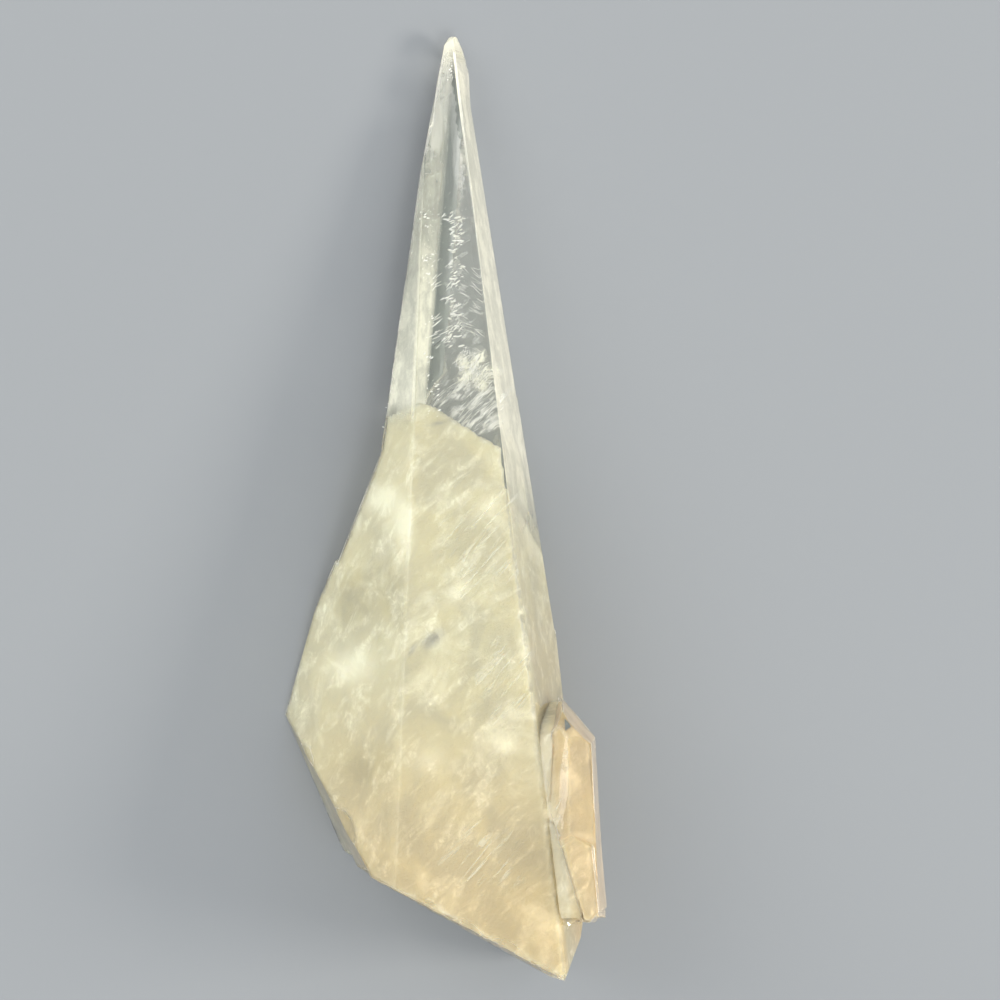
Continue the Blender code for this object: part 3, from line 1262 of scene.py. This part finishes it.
@dataclass(frozen=True)
class FaceHaze(Inclusion):
    """A thin veil just under the skin's surface, between two heights, fading at its ends: mostly a haze
    of inclusions, but painted light on the side walls and painted shade under the back left face. It may
    be thicker lower down, from the height and over the length of a span."""

    name: str
    face: CrystalFace
    depth: float
    bottom: float
    top: float
    fade: float
    reach: Reach = Reach.ONE_FACE
    thicker: float = 0.0
    thicker_below: Span = Span(70.0 * MM, 12.0 * MM)
    least_match: float = 0.997
    least_wear: float = 0.2
    face_slack: float = 0.5
    past_ridge: float = 0.15
    least_steep: float = 0.65
    most_backward: float = 0.35
    before_axis: float = 0.5
    off_face: float = 0.3

    def keeps(self, face: bmesh.types.BMFace, worn: bmesh.types.BMLayerItem) -> bool:
        """Whether the haze lies under one of the skin's triangles.

        Args:
            face: the triangle.
            worn: the layer of the skin's wear.

        Returns:
            True where it does.
        """
        centre = face.calc_center_median()
        if not self.bottom * MM < centre.z < self.top * MM:
            return False
        if self.reach is Reach.WORN_EDGES:
            return any(vertex[worn] > self.least_wear for vertex in face.verts)
        if self.reach is Reach.ALL_ROUND:
            return True
        normal = self.face.normal()
        gap = abs((centre - self.face.point(0.0, self.face.level)).dot(normal))
        if self.reach is Reach.SIDE_WALLS:
            beside = centre.x > ridge_x(centre.z) + self.past_ridge * MM
            steep = abs(face.normal.x) > self.least_steep and face.normal.y < self.most_backward
            return beside and steep and centre.y < -self.before_axis * MM and gap > self.off_face * MM
        return face.normal.dot(normal) > self.least_match and gap < self.face_slack * MM

    def mesh(self, placement: Placement) -> bpy.types.Mesh:
        """Copies the skin's triangles a little way inwards.

        Args:
            placement: how the crystal lies.

        Returns:
            The mesh.
        """
        mesh = bmesh.new()
        mesh.from_mesh(bpy.data.objects[SKIN].data)
        mesh.transform(placement.upright())
        mesh.normal_update()
        layer = mesh.verts.layers.float["worn"]
        unwanted = [face for face in mesh.faces if not self.keeps(face, layer)]
        normals = [vertex.normal.copy() for vertex in mesh.verts]
        for vertex, normal in zip(mesh.verts, normals):
            inwards = self.face.normal() if self.reach is Reach.ONE_FACE else normal
            vertex.co -= inwards * (self.depth * MM)
        bmesh.ops.delete(mesh, geom=unwanted, context="FACES")
        heights = np.array([vertex.co.z for vertex in mesh.verts])
        worn = np.array([vertex[layer] for vertex in mesh.verts])
        mesh.transform(placement.matrix)
        data = settled(self.name, mesh)
        data.attributes.remove(data.attributes["worn"])
        ends = np.minimum(heights - self.bottom * MM, self.top * MM - heights)
        fading = Span(0.0, self.fade * MM).rising(ends)
        fading *= 1.0 + self.thicker * self.thicker_below.falling(heights)
        set_attribute(data, "fade", fading * worn if self.reach is Reach.WORN_EDGES else fading)
        return data


@dataclass(frozen=True)
class Sheet:
    """A curved sheet inside the crystal, on which inclusions lie. Its place is given under a face, and
    its turn is its long side's angle from +X."""

    x: float
    z: float
    depth: float
    width: float
    height: float
    turn: float = 0.0
    bow: float = 0.0
    wrinkle: float = 0.0
    under: CrystalFace = MIDDLE
    wrinkles: float = 5.0

    def points(self, steps: int) -> list[Vector]:
        """Lays out the sheet's grid of points on the upright crystal.

        Args:
            steps: the number of points along each side.

        Returns:
            The points, row by row.
        """
        inwards = -self.under.normal()
        across = UP.cross(inwards).normalized()
        if across.x < 0:
            across = -across
        up = inwards.cross(across)
        if up.z < 0:
            up = -up
        sizes = (self.x, self.z, self.depth, self.width, self.height, self.bow, self.wrinkle)
        x, z, depth, width, height, bow, wrinkle = (size * MM for size in sizes)
        centre = self.under.point(x, z, depth)
        offset = Vector((x, z, 0)) / MM
        turn = math.radians(self.turn)
        made = []
        for row in range(steps):
            v = row / (steps - 1) - 0.5
            for column in range(steps):
                u = column / (steps - 1) - 0.5
                lift = bow * (1 - 4 * u * u)
                lift += wrinkle * noise.noise(Vector((u, v, 0.0)) * self.wrinkles + offset)
                long, short = u * width, v * height
                side = long * math.cos(turn) - short * math.sin(turn)
                rise = long * math.sin(turn) + short * math.cos(turn)
                made.append(centre + across * side + up * rise + inwards * lift)
        return made


def joined(name: str, sheets: tuple, placement: Placement, steps: int = 12) -> bpy.types.Mesh:
    """Joins sheets in one mesh.

    Args:
        name: the mesh's name.
        sheets: the sheets.
        placement: how the crystal lies.
        steps: the number of points along each side of a sheet.

    Returns:
        The mesh.
    """
    corners, faces = [], []
    for sheet in sheets:
        grid = quads(steps * steps, steps, flip=True)
        faces += [tuple(len(corners) + corner for corner in face) for face in grid]
        corners += [placement.place(point) for point in sheet.points(steps)]
    data = bpy.data.meshes.new(name)
    data.from_pydata(corners, [], faces)
    return data


@dataclass(frozen=True)
class Veil(Inclusion):
    """Thin see-through clouds on curved sheets, which fade out towards their waving rims."""

    name: str
    sheets: tuple
    steps: int = 24
    rim: Span = Span(1.0, 0.5)
    waves: float = 5.0
    wave_depth: float = 0.25

    def mesh(self, placement: Placement) -> bpy.types.Mesh:
        """Lays out the sheets and fades them.

        Args:
            placement: how the crystal lies.

        Returns:
            The mesh.
        """
        data = joined(self.name, self.sheets, placement, self.steps)
        across, up = np.meshgrid(*[np.linspace(-1.0, 1.0, self.steps)] * 2)
        away = np.hypot(across, up).ravel()
        away += self.wave_depth * np.sin(np.arctan2(across, up).ravel() * self.waves)
        set_attribute(data, "fade", np.tile(self.rim.falling(away), len(self.sheets)))
        return data


@dataclass(frozen=True)
class Pane(Inclusion):
    """A flat veil under the middle face. Its rows give a height and the places of its left and right
    sides, from its top down. Its fades say how much of it is left at each row, and its sides how much
    is left at its left and right sides."""

    name: str
    rows: tuple
    depth: float
    fades: tuple
    sides: tuple = (1.0, 1.0)
    between: int = 8
    columns: int = 13

    def mesh(self, placement: Placement) -> bpy.types.Mesh:
        """Lays out the pane and fades it.

        Args:
            placement: how the crystal lies.

        Returns:
            The mesh.
        """
        places, rows = between_rows(self.rows, self.between)
        corners = [placement.place(MIDDLE.point(x * MM, height * MM, self.depth * MM))
                   for height, left, right in zip(*rows) for x in np.linspace(left, right, self.columns)]
        data = bpy.data.meshes.new(self.name)
        data.from_pydata(corners, [], quads(len(corners), self.columns))
        fading = np.interp(places, range(len(self.fades)), self.fades)
        last = self.columns - 1
        across = np.interp(range(self.columns), (0, last / 4, last * 3 / 4, last),
                           (self.sides[0], 1.0, 1.0, self.sides[1]))
        set_attribute(data, "fade", np.outer(fading, across).ravel())
        return data


@dataclass(frozen=True)
class GapFilling(Inclusion):
    """A milky piece filling a gap between the point and its side crystals, painted light over the gap's
    shade. Each row gives a height, then how far right and how far back its left rim and its right rim
    are."""

    name: str
    rows: tuple
    # Whiter than the body: painted light that lifts the shade in the gap.
    milk: float = 0.3
    warmth: float = 0.4
    thickness: float = 1.6 * MM
    hollow: float = 0.12 * MM
    relief: float = 0.10 * MM
    grain: float = 1.2 * MM
    crease: float = math.radians(50.0)
    between: int = 6
    columns: int = 7

    def mesh(self, placement: Placement) -> bpy.types.Mesh:
        """Lays out the filling's hollow front, its back and the walls round its rim.

        Args:
            placement: how the crystal lies.

        Returns:
            The closed mesh.
        """
        rows = [column * MM for column in between_rows(self.rows, self.between)[1]]
        front = []
        for height, left_x, left_y, right_x, right_y in zip(*rows):
            left, right = Vector((left_x, left_y, height)), Vector((right_x, right_y, height))
            for share in np.linspace(0.0, 1.0, self.columns):
                place = left.lerp(right, share)
                sunk = noise.noise(place / self.grain) * self.relief
                sunk += self.hollow * 4.0 * share * (1.0 - share)
                front.append(place + Vector((0.0, 1.0, 0.0)) * sunk)
        back = [place + Vector((0.0, self.thickness, 0.0)) for place in front]
        count, below = len(front), len(front) - self.columns
        faces = quads(count, self.columns)
        faces += [tuple(count + corner for corner in reversed(face)) for face in faces]
        rim = [*range(self.columns), *range(2 * self.columns - 1, count, self.columns),
               *range(count - 2, below, -1), *range(below, 0, -self.columns)]
        faces += [(first, second, count + second, count + first)
                  for first, second in zip(rim, rim[1:] + rim[:1])]
        data = bpy.data.meshes.new(self.name)
        data.from_pydata(front + back, [], faces)
        data.transform(placement.matrix)
        for name, value in (("milk", self.milk), ("warmth", self.warmth)):
            set_attribute(data, name, np.full(len(data.vertices), value))
        return data


@dataclass(frozen=True)
class Spot(Inclusion):
    """A small flat three-cornered spot inside the crystal."""

    name: str
    corners: tuple

    def mesh(self, placement: Placement) -> bpy.types.Mesh:
        """Lays out the spot, which doesn't fade.

        Args:
            placement: how the crystal lies.

        Returns:
            The mesh.
        """
        data = bpy.data.meshes.new(self.name)
        corners = [placement.place(Vector(corner) * MM) for corner in self.corners]
        data.from_pydata(corners, [], [(0, 1, 2)])
        set_attribute(data, "fade", np.ones(len(corners)))
        return data


@dataclass
class InclusionTree:
    """The Geometry Nodes tree that strews slender grains over sheets, in patches."""

    tree: bpy.types.NodeTree = None
    sockets: dict = field(default_factory=dict)

    def build(self) -> "InclusionTree":
        """Makes the tree.

        Returns:
            This object.
        """
        self.tree = bpy.data.node_groups.new("strewn_inclusions", "GeometryNodeTree")
        face = self.tree.interface
        face.new_socket("Geometry", in_out="INPUT", socket_type="NodeSocketGeometry")
        face.new_socket("Geometry", in_out="OUTPUT", socket_type="NodeSocketGeometry")
        kinds = {"Density": "Float", "Seed": "Int", "Along": "Vector", "Wander": "Float",
                 "Size": "Vector", "Smallest": "Float", "Patch Scale": "Float", "Patch Cut": "Float",
                 "Finish": "Material"}
        for label, kind in kinds.items():
            socket = face.new_socket(label, in_out="INPUT", socket_type="NodeSocket" + kind)
            self.sockets[label] = socket.identifier
        wiring = Wiring(self.tree)
        given = wiring.add("NodeGroupInput").outputs
        strewn = wiring.add("GeometryNodeDistributePointsOnFaces", Mesh=given["Geometry"],
                            Density=given["Density"], Seed=given["Seed"])
        kept = wiring.add("GeometryNodeDeleteGeometry", domain="POINT",
                          Geometry=strewn.outputs["Points"], Selection=self.bare(wiring, given))
        grain = wiring.add("GeometryNodeMeshIcoSphere", Radius=0.5, Subdivisions=1)
        shaped = wiring.add("GeometryNodeTransform", Geometry=grain.outputs[0], Scale=given["Size"])
        size = wiring.add("FunctionNodeRandomValue", None, None, given["Smallest"], 1.0,
                          data_type="FLOAT", Seed=given["Seed"])
        copies = wiring.add("GeometryNodeInstanceOnPoints", Points=kept.outputs[0],
                            Instance=shaped.outputs[0], Scale=size.outputs[1],
                            Rotation=self.turned(wiring, given, strewn.outputs["Normal"]))
        real = wiring.add("GeometryNodeRealizeInstances", Geometry=copies.outputs[0])
        dressed = wiring.add("GeometryNodeSetMaterial", Geometry=real.outputs[0],
                             Material=given["Finish"])
        wiring.add("NodeGroupOutput", dressed.outputs[0])
        return self

    @staticmethod
    def bare(wiring: Wiring, given: bpy.types.NodeOutputs) -> bpy.types.NodeSocket:
        """Finds the places between the patches.

        Args:
            wiring: the tree's wiring.
            given: the tree's inputs.

        Returns:
            True where nothing lies.
        """
        place = wiring.add("GeometryNodeInputPosition").outputs[0]
        patches = wiring.add("ShaderNodeTexNoise", Vector=place, Scale=given["Patch Scale"], Detail=2.0)
        return wiring.add("FunctionNodeCompare", patches.outputs[0], given["Patch Cut"],
                          data_type="FLOAT", operation="LESS_THAN").outputs[0]

    @staticmethod
    def turned(wiring: Wiring, given: bpy.types.NodeOutputs, normal: bpy.types.NodeSocket
               ) -> bpy.types.NodeSocket:
        """Turns each grain along its heading, give or take its wander.

        Args:
            wiring: the tree's wiring.
            given: the tree's inputs.
            normal: the sheet's normal under the grain.

        Returns:
            The grain's rotation.
        """
        back = wiring.math("MULTIPLY", given["Wander"], -1.0)
        swing = wiring.add("FunctionNodeRandomValue", back, given["Wander"],
                           data_type="FLOAT_VECTOR", Seed=given["Seed"])
        lean = wiring.add("ShaderNodeVectorMath", given["Along"], swing.outputs[0], operation="ADD")
        return wiring.add("FunctionNodeAxesToRotation", lean.outputs[0], normal, primary_axis="X",
                          secondary_axis="Z").outputs[0]

    def strew(self, piece: bpy.types.Object, values: dict[str, object]) -> None:
        """Replaces a piece's sheets by the inclusions strewn on them.

        Args:
            piece: the object that holds the sheets.
            values: the tree's inputs by name.
        """
        step = piece.modifiers.new("strew", "NODES")
        step.node_group = self.tree
        for label, value in values.items():
            step[self.sockets[label]] = value
        baked(piece)


@dataclass(frozen=True)
class Strewing:
    """One set of inclusions: the sheets that hold it, its grains' sizes and heading, and how it is
    scattered. Density is in grains per square millimetre."""

    name: str
    sheets: tuple
    density: float
    size: tuple
    heading: float
    wander: float
    seed: int
    smallest: float
    patch_grain: float
    patch_cut: float

    def build(self, tree: InclusionTree, placement: Placement, material: bpy.types.Material
              ) -> bpy.types.Object:
        """Strews the set inside the crystal.

        Args:
            tree: the shared Geometry Nodes tree.
            placement: how the crystal lies.
            material: the grains' finish.

        Returns:
            The finished piece.
        """
        piece = add_piece(self.name, joined(self.name, self.sheets, placement))
        angle = math.radians(self.heading)
        along = placement.direction(Vector((math.cos(angle), 0.0, math.sin(angle))))
        tree.strew(piece, {
            "Density": self.density / MM ** 2, "Seed": self.seed, "Along": tuple(along),
            "Wander": self.wander, "Size": tuple(part * MM for part in self.size),
            "Smallest": self.smallest, "Patch Scale": 1.0 / (self.patch_grain * MM),
            "Patch Cut": self.patch_cut, "Finish": material})
        return riding(piece)


STREWINGS = (
    Strewing("fleck_chain", (Sheet(0.15, 69.8, 1.6, 1.3, 14.0, wrinkle=0.6),),
             density=5.5, size=(0.85, 0.26, 0.14), heading=24.0, wander=0.6, seed=3, smallest=0.15,
             patch_grain=1.1, patch_cut=0.47),
    Strewing("chain_feathers_left", (Sheet(-1.2, 67.3, 0.28, 1.8, 9.0),),
             density=7.5, size=(1.3, 0.09, 0.05), heading=38.0, wander=0.25, seed=5, smallest=0.2,
             patch_grain=1.3, patch_cut=0.49),
    Strewing("chain_feathers_right", (Sheet(1.6, 66.6, 1.4, 2.0, 9.0, bow=0.5),),
             density=9.0, size=(1.5, 0.055, 0.04), heading=-32.0, wander=0.3, seed=8, smallest=0.2,
             patch_grain=1.4, patch_cut=0.48),
    Strewing("wing_feather", (Sheet(-0.9, 76.0, 0.28, 3.2, 0.6, turn=-6.0),),
             density=10.0, size=(0.8, 0.14, 0.06), heading=18.0, wander=0.4, seed=10, smallest=0.2,
             patch_grain=0.9, patch_cut=0.46),
    Strewing("cloud_fibres", (Sheet(1.7, 61.2, 1.2, 3.1, 2.4, turn=-40.0, wrinkle=0.3),
                              Sheet(2.6, 59.8, 1.1, 2.8, 2.4, turn=-25.0, wrinkle=0.3)),
             density=30.0, size=(0.7, 0.06, 0.04), heading=52.0, wander=0.7, seed=12, smallest=0.2,
             patch_grain=0.8, patch_cut=0.43),
    Strewing("cloud_feathers", (Sheet(1.0, 57.3, 1.3, 6.0, 4.5, turn=15.0, wrinkle=0.5),
                                Sheet(3.1, 55.7, 1.0, 3.0, 3.0, wrinkle=0.4)),
             density=5.0, size=(1.6, 0.055, 0.04), heading=43.0, wander=0.2, seed=15, smallest=0.15,
             patch_grain=1.3, patch_cut=0.48),
    Strewing("strip_flecks", (Sheet(-2.5, 66.5, 0.24, 1.3, 22.0, turn=3.5),),
             density=5.0, size=(0.42, 0.18, 0.08), heading=30.0, wander=0.7, seed=23, smallest=0.25,
             patch_grain=1.4, patch_cut=0.47),
    Strewing("tip_flecks", (Sheet(-0.45, 90.6, 0.25, 0.5, 4.4),),
             density=5.0, size=(0.26, 0.18, 0.10), heading=30.0, wander=0.8, seed=26, smallest=0.3,
             patch_grain=1.0, patch_cut=0.40),
    Strewing("left_dust", (Sheet(-5.4, 64.0, 0.6, 2.6, 22.0, turn=-6.0, under=LEFT),),
             density=2.0, size=(0.34, 0.14, 0.10), heading=-30.0, wander=0.6, seed=31, smallest=0.25,
             patch_grain=1.6, patch_cut=0.5),
)

VEILS = (
    (Pane("cream_strip", (
        (92.7, -0.8, 0.0), (91.3, -1.4, -0.1), (85.5, -2.6, -0.4), (77.3, -3.28, -1.07),
        (69.3, -3.65, -1.70), (63.3, -3.93, -2.17), (57.3, -4.21, -2.65), (55.6, -4.3, -2.75)), 0.3,
        (0.45, 0.45, 0.42, 0.5, 0.9, 0.95, 0.85, 0.7), (0.8, 0.25)),
     Haze("strip_haze", (0.84, 0.83, 0.68, 1.0), 0.58, 0.90, scale=620.0, stretch=2.2, threads=0.10)),
    # Painted highlight: a bright strip under the ridge edge near the tip stands in for the bevel's
    # glint.
    (Pane("edge_line", (
        (93.0, -0.12, 0.14), (88.0, 0.44, 0.68), (80.0, 1.50, 1.66), (70.0, 2.76, 2.86),
        (55.0, 4.58, 4.66), (45.0, 5.80, 5.86)), 0.05, (1.0, 0.9, 0.4, 0.1, 0.0, 0.0)),
     Haze("line_haze", (0.95, 0.93, 0.80, 1.0), 0.75, 1.0, scale=420.0, stretch=6.0)),
    (Veil("chain_veil", (Sheet(0.25, 69.5, 1.8, 2.6, 16.0, wrinkle=0.4),
                         Sheet(1.3, 65.5, 1.6, 3.4, 8.0, wrinkle=0.4))),
     Haze("chain_haze", (0.93, 0.94, 0.89, 1.0), 0.0, 0.40, scale=2100.0, stretch=4.0, low=0.48,
          high=0.68, threads=0.05, heading=30.0)),
    (Veil("cloud_veil", (Sheet(2.1, 60.6, 1.7, 4.8, 4.6, turn=-35.0, wrinkle=0.4),
                         Sheet(2.3, 60.2, 2.3, 4.4, 4.2, turn=-30.0, wrinkle=0.4))),
     Haze("cloud_haze", (0.95, 0.94, 0.81, 1.0), 0.12, 0.95, scale=1500.0, stretch=2.2, low=0.40,
          high=0.60, threads=0.45, heading=50.0)),
    (Veil("streak_veil", (Sheet(1.3, 56.6, 1.5, 9.0, 7.0, wrinkle=0.4),
                          Sheet(2.6, 56.0, 1.1, 6.0, 6.0, wrinkle=0.4))),
     Haze("streak_haze", (0.92, 0.92, 0.86, 1.0), 0.0, 0.70, scale=1700.0, stretch=7.0, low=0.45,
          high=0.66, threads=0.10, heading=43.0)),
    (Veil("heart_streaks", (Sheet(2.4, 43.8, 0.10, 9.0, 13.0), Sheet(5.2, 29.3, 0.10, 6.0, 9.0),
                            Sheet(3.0, 12.0, 0.10, 9.0, 8.0))),
     Haze("heart_streak_haze", (0.94, 0.93, 0.79, 1.0), 0.0, 0.42, scale=1500.0, stretch=9.0, low=0.48,
          high=0.68, threads=0.05, heading=48.0)),
    (Veil("right_veins", (Sheet(5.0, 62.0, 0.5, 5.0, 22.0, turn=6.0, under=RIGHT),)),
     Haze("vein_haze", (0.92, 0.92, 0.86, 1.0), 0.0, 0.6, scale=700.0, stretch=5.0, low=0.48,
          high=0.60, threads=0.04, heading=115.0)),
    # Painted shade: a dark flat spot stands in for the dark seen through a clear window in a side
    # crystal.
    (Spot("side_window", ((11.12, -8.98, 25.60), (11.74, -9.80, 24.85), (11.14, -10.30, 24.45))),
     Haze("window_haze", (0.20, 0.225, 0.215, 1.0), 0.9, 1.0, threads=0.0)),
)

HAZES = (
    (FaceHaze("right_face_haze", RIGHT, 0.12, 40.0, 107.0, 12.0, least_match=0.975),
     Haze("right_haze", (0.92, 0.905, 0.785, 1.0), 0.54, 0.76, scale=450.0, stretch=2.2, threads=0.12,
          heading=115.0)),
    # Painted light: a pale warm veil on the walls beside the point lifts the shade in the gaps.
    (FaceHaze("side_wall_haze", RIGHT, 0.06, 3.0, 28.0, 1.0, Reach.SIDE_WALLS),
     Haze("side_wall_haze", (0.94, 0.85, 0.73, 1.0), 0.35, 0.5, scale=500.0, threads=0.05)),
    (FaceHaze("left_face_haze", LEFT, 0.12, 54.9, 93.0, 2.4, thicker=0.9, least_match=0.98),
     Haze("left_haze", (0.88, 0.88, 0.76, 1.0), 0.30, 0.46, scale=330.0, stretch=1.6, threads=0.08)),
    # Painted shade: a dark grey sheet under the back left face greys the clear tip.
    (FaceHaze("back_left_haze", BACK_LEFT, 0.25, 52.0, 92.0, 3.0),
     Haze("back_left_haze", (0.27, 0.30, 0.29, 1.0), 0.80, 0.95, scale=350.0, threads=0.0)),
    (FaceHaze("tip_haze", MIDDLE, 0.05, 91.9, 98.5, 2.0, Reach.ALL_ROUND),
     Haze("tip_haze", (0.84, 0.83, 0.70, 1.0), 0.88, 1.0)),
    (FaceHaze("edge_haze", FRONT_BEVEL, 0.03, 10.0, 220.0, 20.0, Reach.WORN_EDGES),
     Haze("edge_haze", (0.93, 0.92, 0.84, 1.0), 0.25, 0.65, scale=900.0)),
)

HEART_PATCHES = (
    Patch(-10.3, 30.3, 2.6, 1.8, 20.0, 0.5),
    Patch(-5.0, 45.0, 1.2, 3.0, 10.0, 0.6),
    Patch(-2.0, 33.4, 1.4, 0.8, 35.0, -1.0),
    Patch(-4.1, 32.3, 0.9, 0.25, 60.0, -0.7),
    Patch(-1.6, 55.0, 1.0, 0.22, 12.0, -0.7),
    Patch(4.7, 23.3, 2.2, 1.3, -10.0, 0.6),
    Patch(-10.1, 37.3, 1.4, 2.4, 0.0, -0.6),
    Patch(-8.5, 20.5, 3.0, 1.6, 15.0, -0.3),
    Patch(3.2, 46.5, 2.4, 1.4, 40.0, 0.4),
    # Beside the side crystals: the whiter patches here are painted light, lifting the shade in the gaps.
    Patch(11.35, 24.8, 0.5, 0.6, 0.0, -1.0),
    Patch(10.95, 19.0, 0.5, 4.2, 4.0, -0.85),
    Patch(12.0, 24.2, 0.9, 0.7, 0.0, 0.5),
    Patch(13.0, 14.5, 2.2, 9.0, 0.0, 0.3),
    Patch(2.0, 11.5, 5.5, 4.5, 0.0, 0.22),
    Patch(3.0, 4.3, 11.0, 0.6, -26.0, 0.5),
    Patch(-7.6, 47.5, 1.6, 1.2, 30.0, 0.5),
    Patch(0.8, 38.5, 2.6, 1.0, 45.0, 0.5),
    Patch(-6.6, 38.0, 1.6, 2.6, 20.0, -0.5),
    Patch(-2.4, 21.5, 2.2, 1.6, 20.0, 0.45),
    # Painted light along the ridge, lifting the shade beside the lower gap.
    Patch(9.6, 14.0, 0.5, 8.0, 6.8, 0.7),
)

# Milky pieces set into the shaded gaps beside the side crystals; their whiteness is painted light.
GAP_FILLINGS = (
    GapFilling("upper_gap", (
        (26.8, 9.75, -3.10, 10.50, -3.30), (25.8, 9.15, -5.75, 10.32, -6.10),
        (24.8, 8.75, -7.90, 10.10, -8.90), (24.0, 8.66, -8.90, 9.95, -9.75),
        (23.0, 8.70, -9.40, 9.90, -10.05), (21.5, 8.82, -9.78, 9.85, -10.15),
        (18.7, 9.12, -10.32, 9.70, -10.45), (17.5, 9.30, -10.45, 9.70, -10.60)),
        milk=0.4, warmth=0.6),
    GapFilling("lower_gap", (
        (15.5, 9.53, -10.66, 9.80, -10.86), (14.8, 9.61, -10.73, 10.45, -11.35),
        (13.5, 9.77, -10.91, 10.85, -11.85), (11.8, 9.97, -11.13, 11.20, -12.25),
        (9.5, 10.24, -11.44, 12.05, -12.35), (7.9, 10.43, -11.65, 12.45, -12.30),
        (6.7, 10.57, -11.80, 12.70, -12.00), (6.1, 10.75, -11.50, 12.60, -11.50))),
)


# ---- Studio ----


@dataclass(frozen=True)
class Softbox:
    """A square area lamp that looks at the crystal."""

    name: str
    towards: Vector
    width: float
    power: float
    colour: tuple
    distance: float = 0.9

    def build(self) -> bpy.types.Object:
        """Adds the lamp.

        Returns:
            The lamp's object.
        """
        data = bpy.data.lights.new(self.name, "AREA")
        data.shape = "SQUARE"
        data.size = self.width
        data.energy = self.power
        data.color = self.colour
        lamp = bpy.data.objects.new(self.name, data)
        bpy.context.scene.collection.objects.link(lamp)
        lamp.location = LAMP_TARGET + self.towards.normalized() * self.distance
        lamp.rotation_mode = "QUATERNION"
        lamp.rotation_quaternion = self.towards.to_track_quat("Z", "Y")
        return lamp


@dataclass
class Studio:
    """The floor, the soft light and the camera."""

    eye: tuple = (4.707 * MM, -307.0 * MM, 47.3 * MM)
    lens: float = 108.0
    sensor: float = 36.0
    nearest: float = 0.01
    sky: tuple = (0.875, 0.90, 0.93, 1.0)
    sky_strength: float = 0.95
    bounces: int = 16
    softboxes: tuple = (
        Softbox("key_softbox", Vector((-0.72, 0.45, 0.52)), 0.6, 3.7, (1.0, 0.985, 0.95)),
        Softbox("side_softbox", Vector((0.85, -0.05, 0.52)), 0.25, 3.9, (1.0, 0.95, 0.87)),
        Softbox("top_softbox", Vector((0.08, -0.34, 0.94)), 0.30, 1.1, (1.0, 0.985, 0.96)),
    )

    def build(self, placement: Placement) -> None:
        """Builds the studio round the crystal.

        Args:
            placement: how the crystal lies.
        """
        Floor().build()
        scene = bpy.context.scene
        scene.world = bpy.data.worlds.new("soft_studio")
        scene.world.use_nodes = True
        tree = scene.world.node_tree
        Wiring(tree).fill(tree.nodes["Background"], {"Color": self.sky, "Strength": self.sky_strength})
        for softbox in self.softboxes:
            softbox.build()
        self.camera(placement)
        scene.view_settings.view_transform = "Standard"
        scene.cycles.max_bounces = self.bounces
        scene.cycles.transmission_bounces = self.bounces
        scene.cycles.transparent_max_bounces = 2 * self.bounces

    def camera(self, placement: Placement) -> bpy.types.Object:
        """Adds the camera, looking square at the front of the upright crystal.

        Args:
            placement: how the crystal lies.

        Returns:
            The camera.
        """
        data = bpy.data.cameras.new("camera")
        data.lens = self.lens
        data.sensor_width = self.sensor
        data.clip_start = self.nearest
        camera = bpy.data.objects.new("camera", data)
        bpy.context.scene.collection.objects.link(camera)
        looks = placement.direction(Vector((0.0, 1.0, 0.0)))
        above = placement.direction(UP)
        side = looks.cross(above)
        camera.rotation_mode = "QUATERNION"
        camera.rotation_quaternion = Matrix((side, above, -looks)).transposed().to_quaternion()
        camera.location = placement.place(Vector(self.eye))
        bpy.context.scene.camera = camera
        return camera


def report(piece: bpy.types.Object) -> None:
    """Logs a finished piece."""
    LOG.info("%s: %d faces", piece.name, len(piece.data.polygons))


def main() -> None:
    """Builds the specimen and its studio."""
    logging.basicConfig(level=logging.INFO, format="%(message)s")
    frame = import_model()
    node = frame["nodes"][NODE]
    placement = Placement.of_node(node)
    effects = Effects(placement).build()
    Studio().build(placement)
    LOG.info("studio: built")
    skin = CrystalSkin()
    report(skin.build(node, placement, ClearCalcite().material(effects)))
    milk = MilkyCalcite().material(effects)
    report(MilkyHeart(HEART_PATCHES).build(skin.base_mesh(node, placement), placement, milk))
    for filling in GAP_FILLINGS:
        report(filling.build(placement, milk))
    for veil, finish in HAZES + VEILS:
        report(veil.build(placement, finish.material(effects)))
    tree = InclusionTree().build()
    bright = Bright().material(effects)
    for strewing in STREWINGS:
        report(strewing.build(tree, placement, bright))


if __name__ == "__main__":
    main()
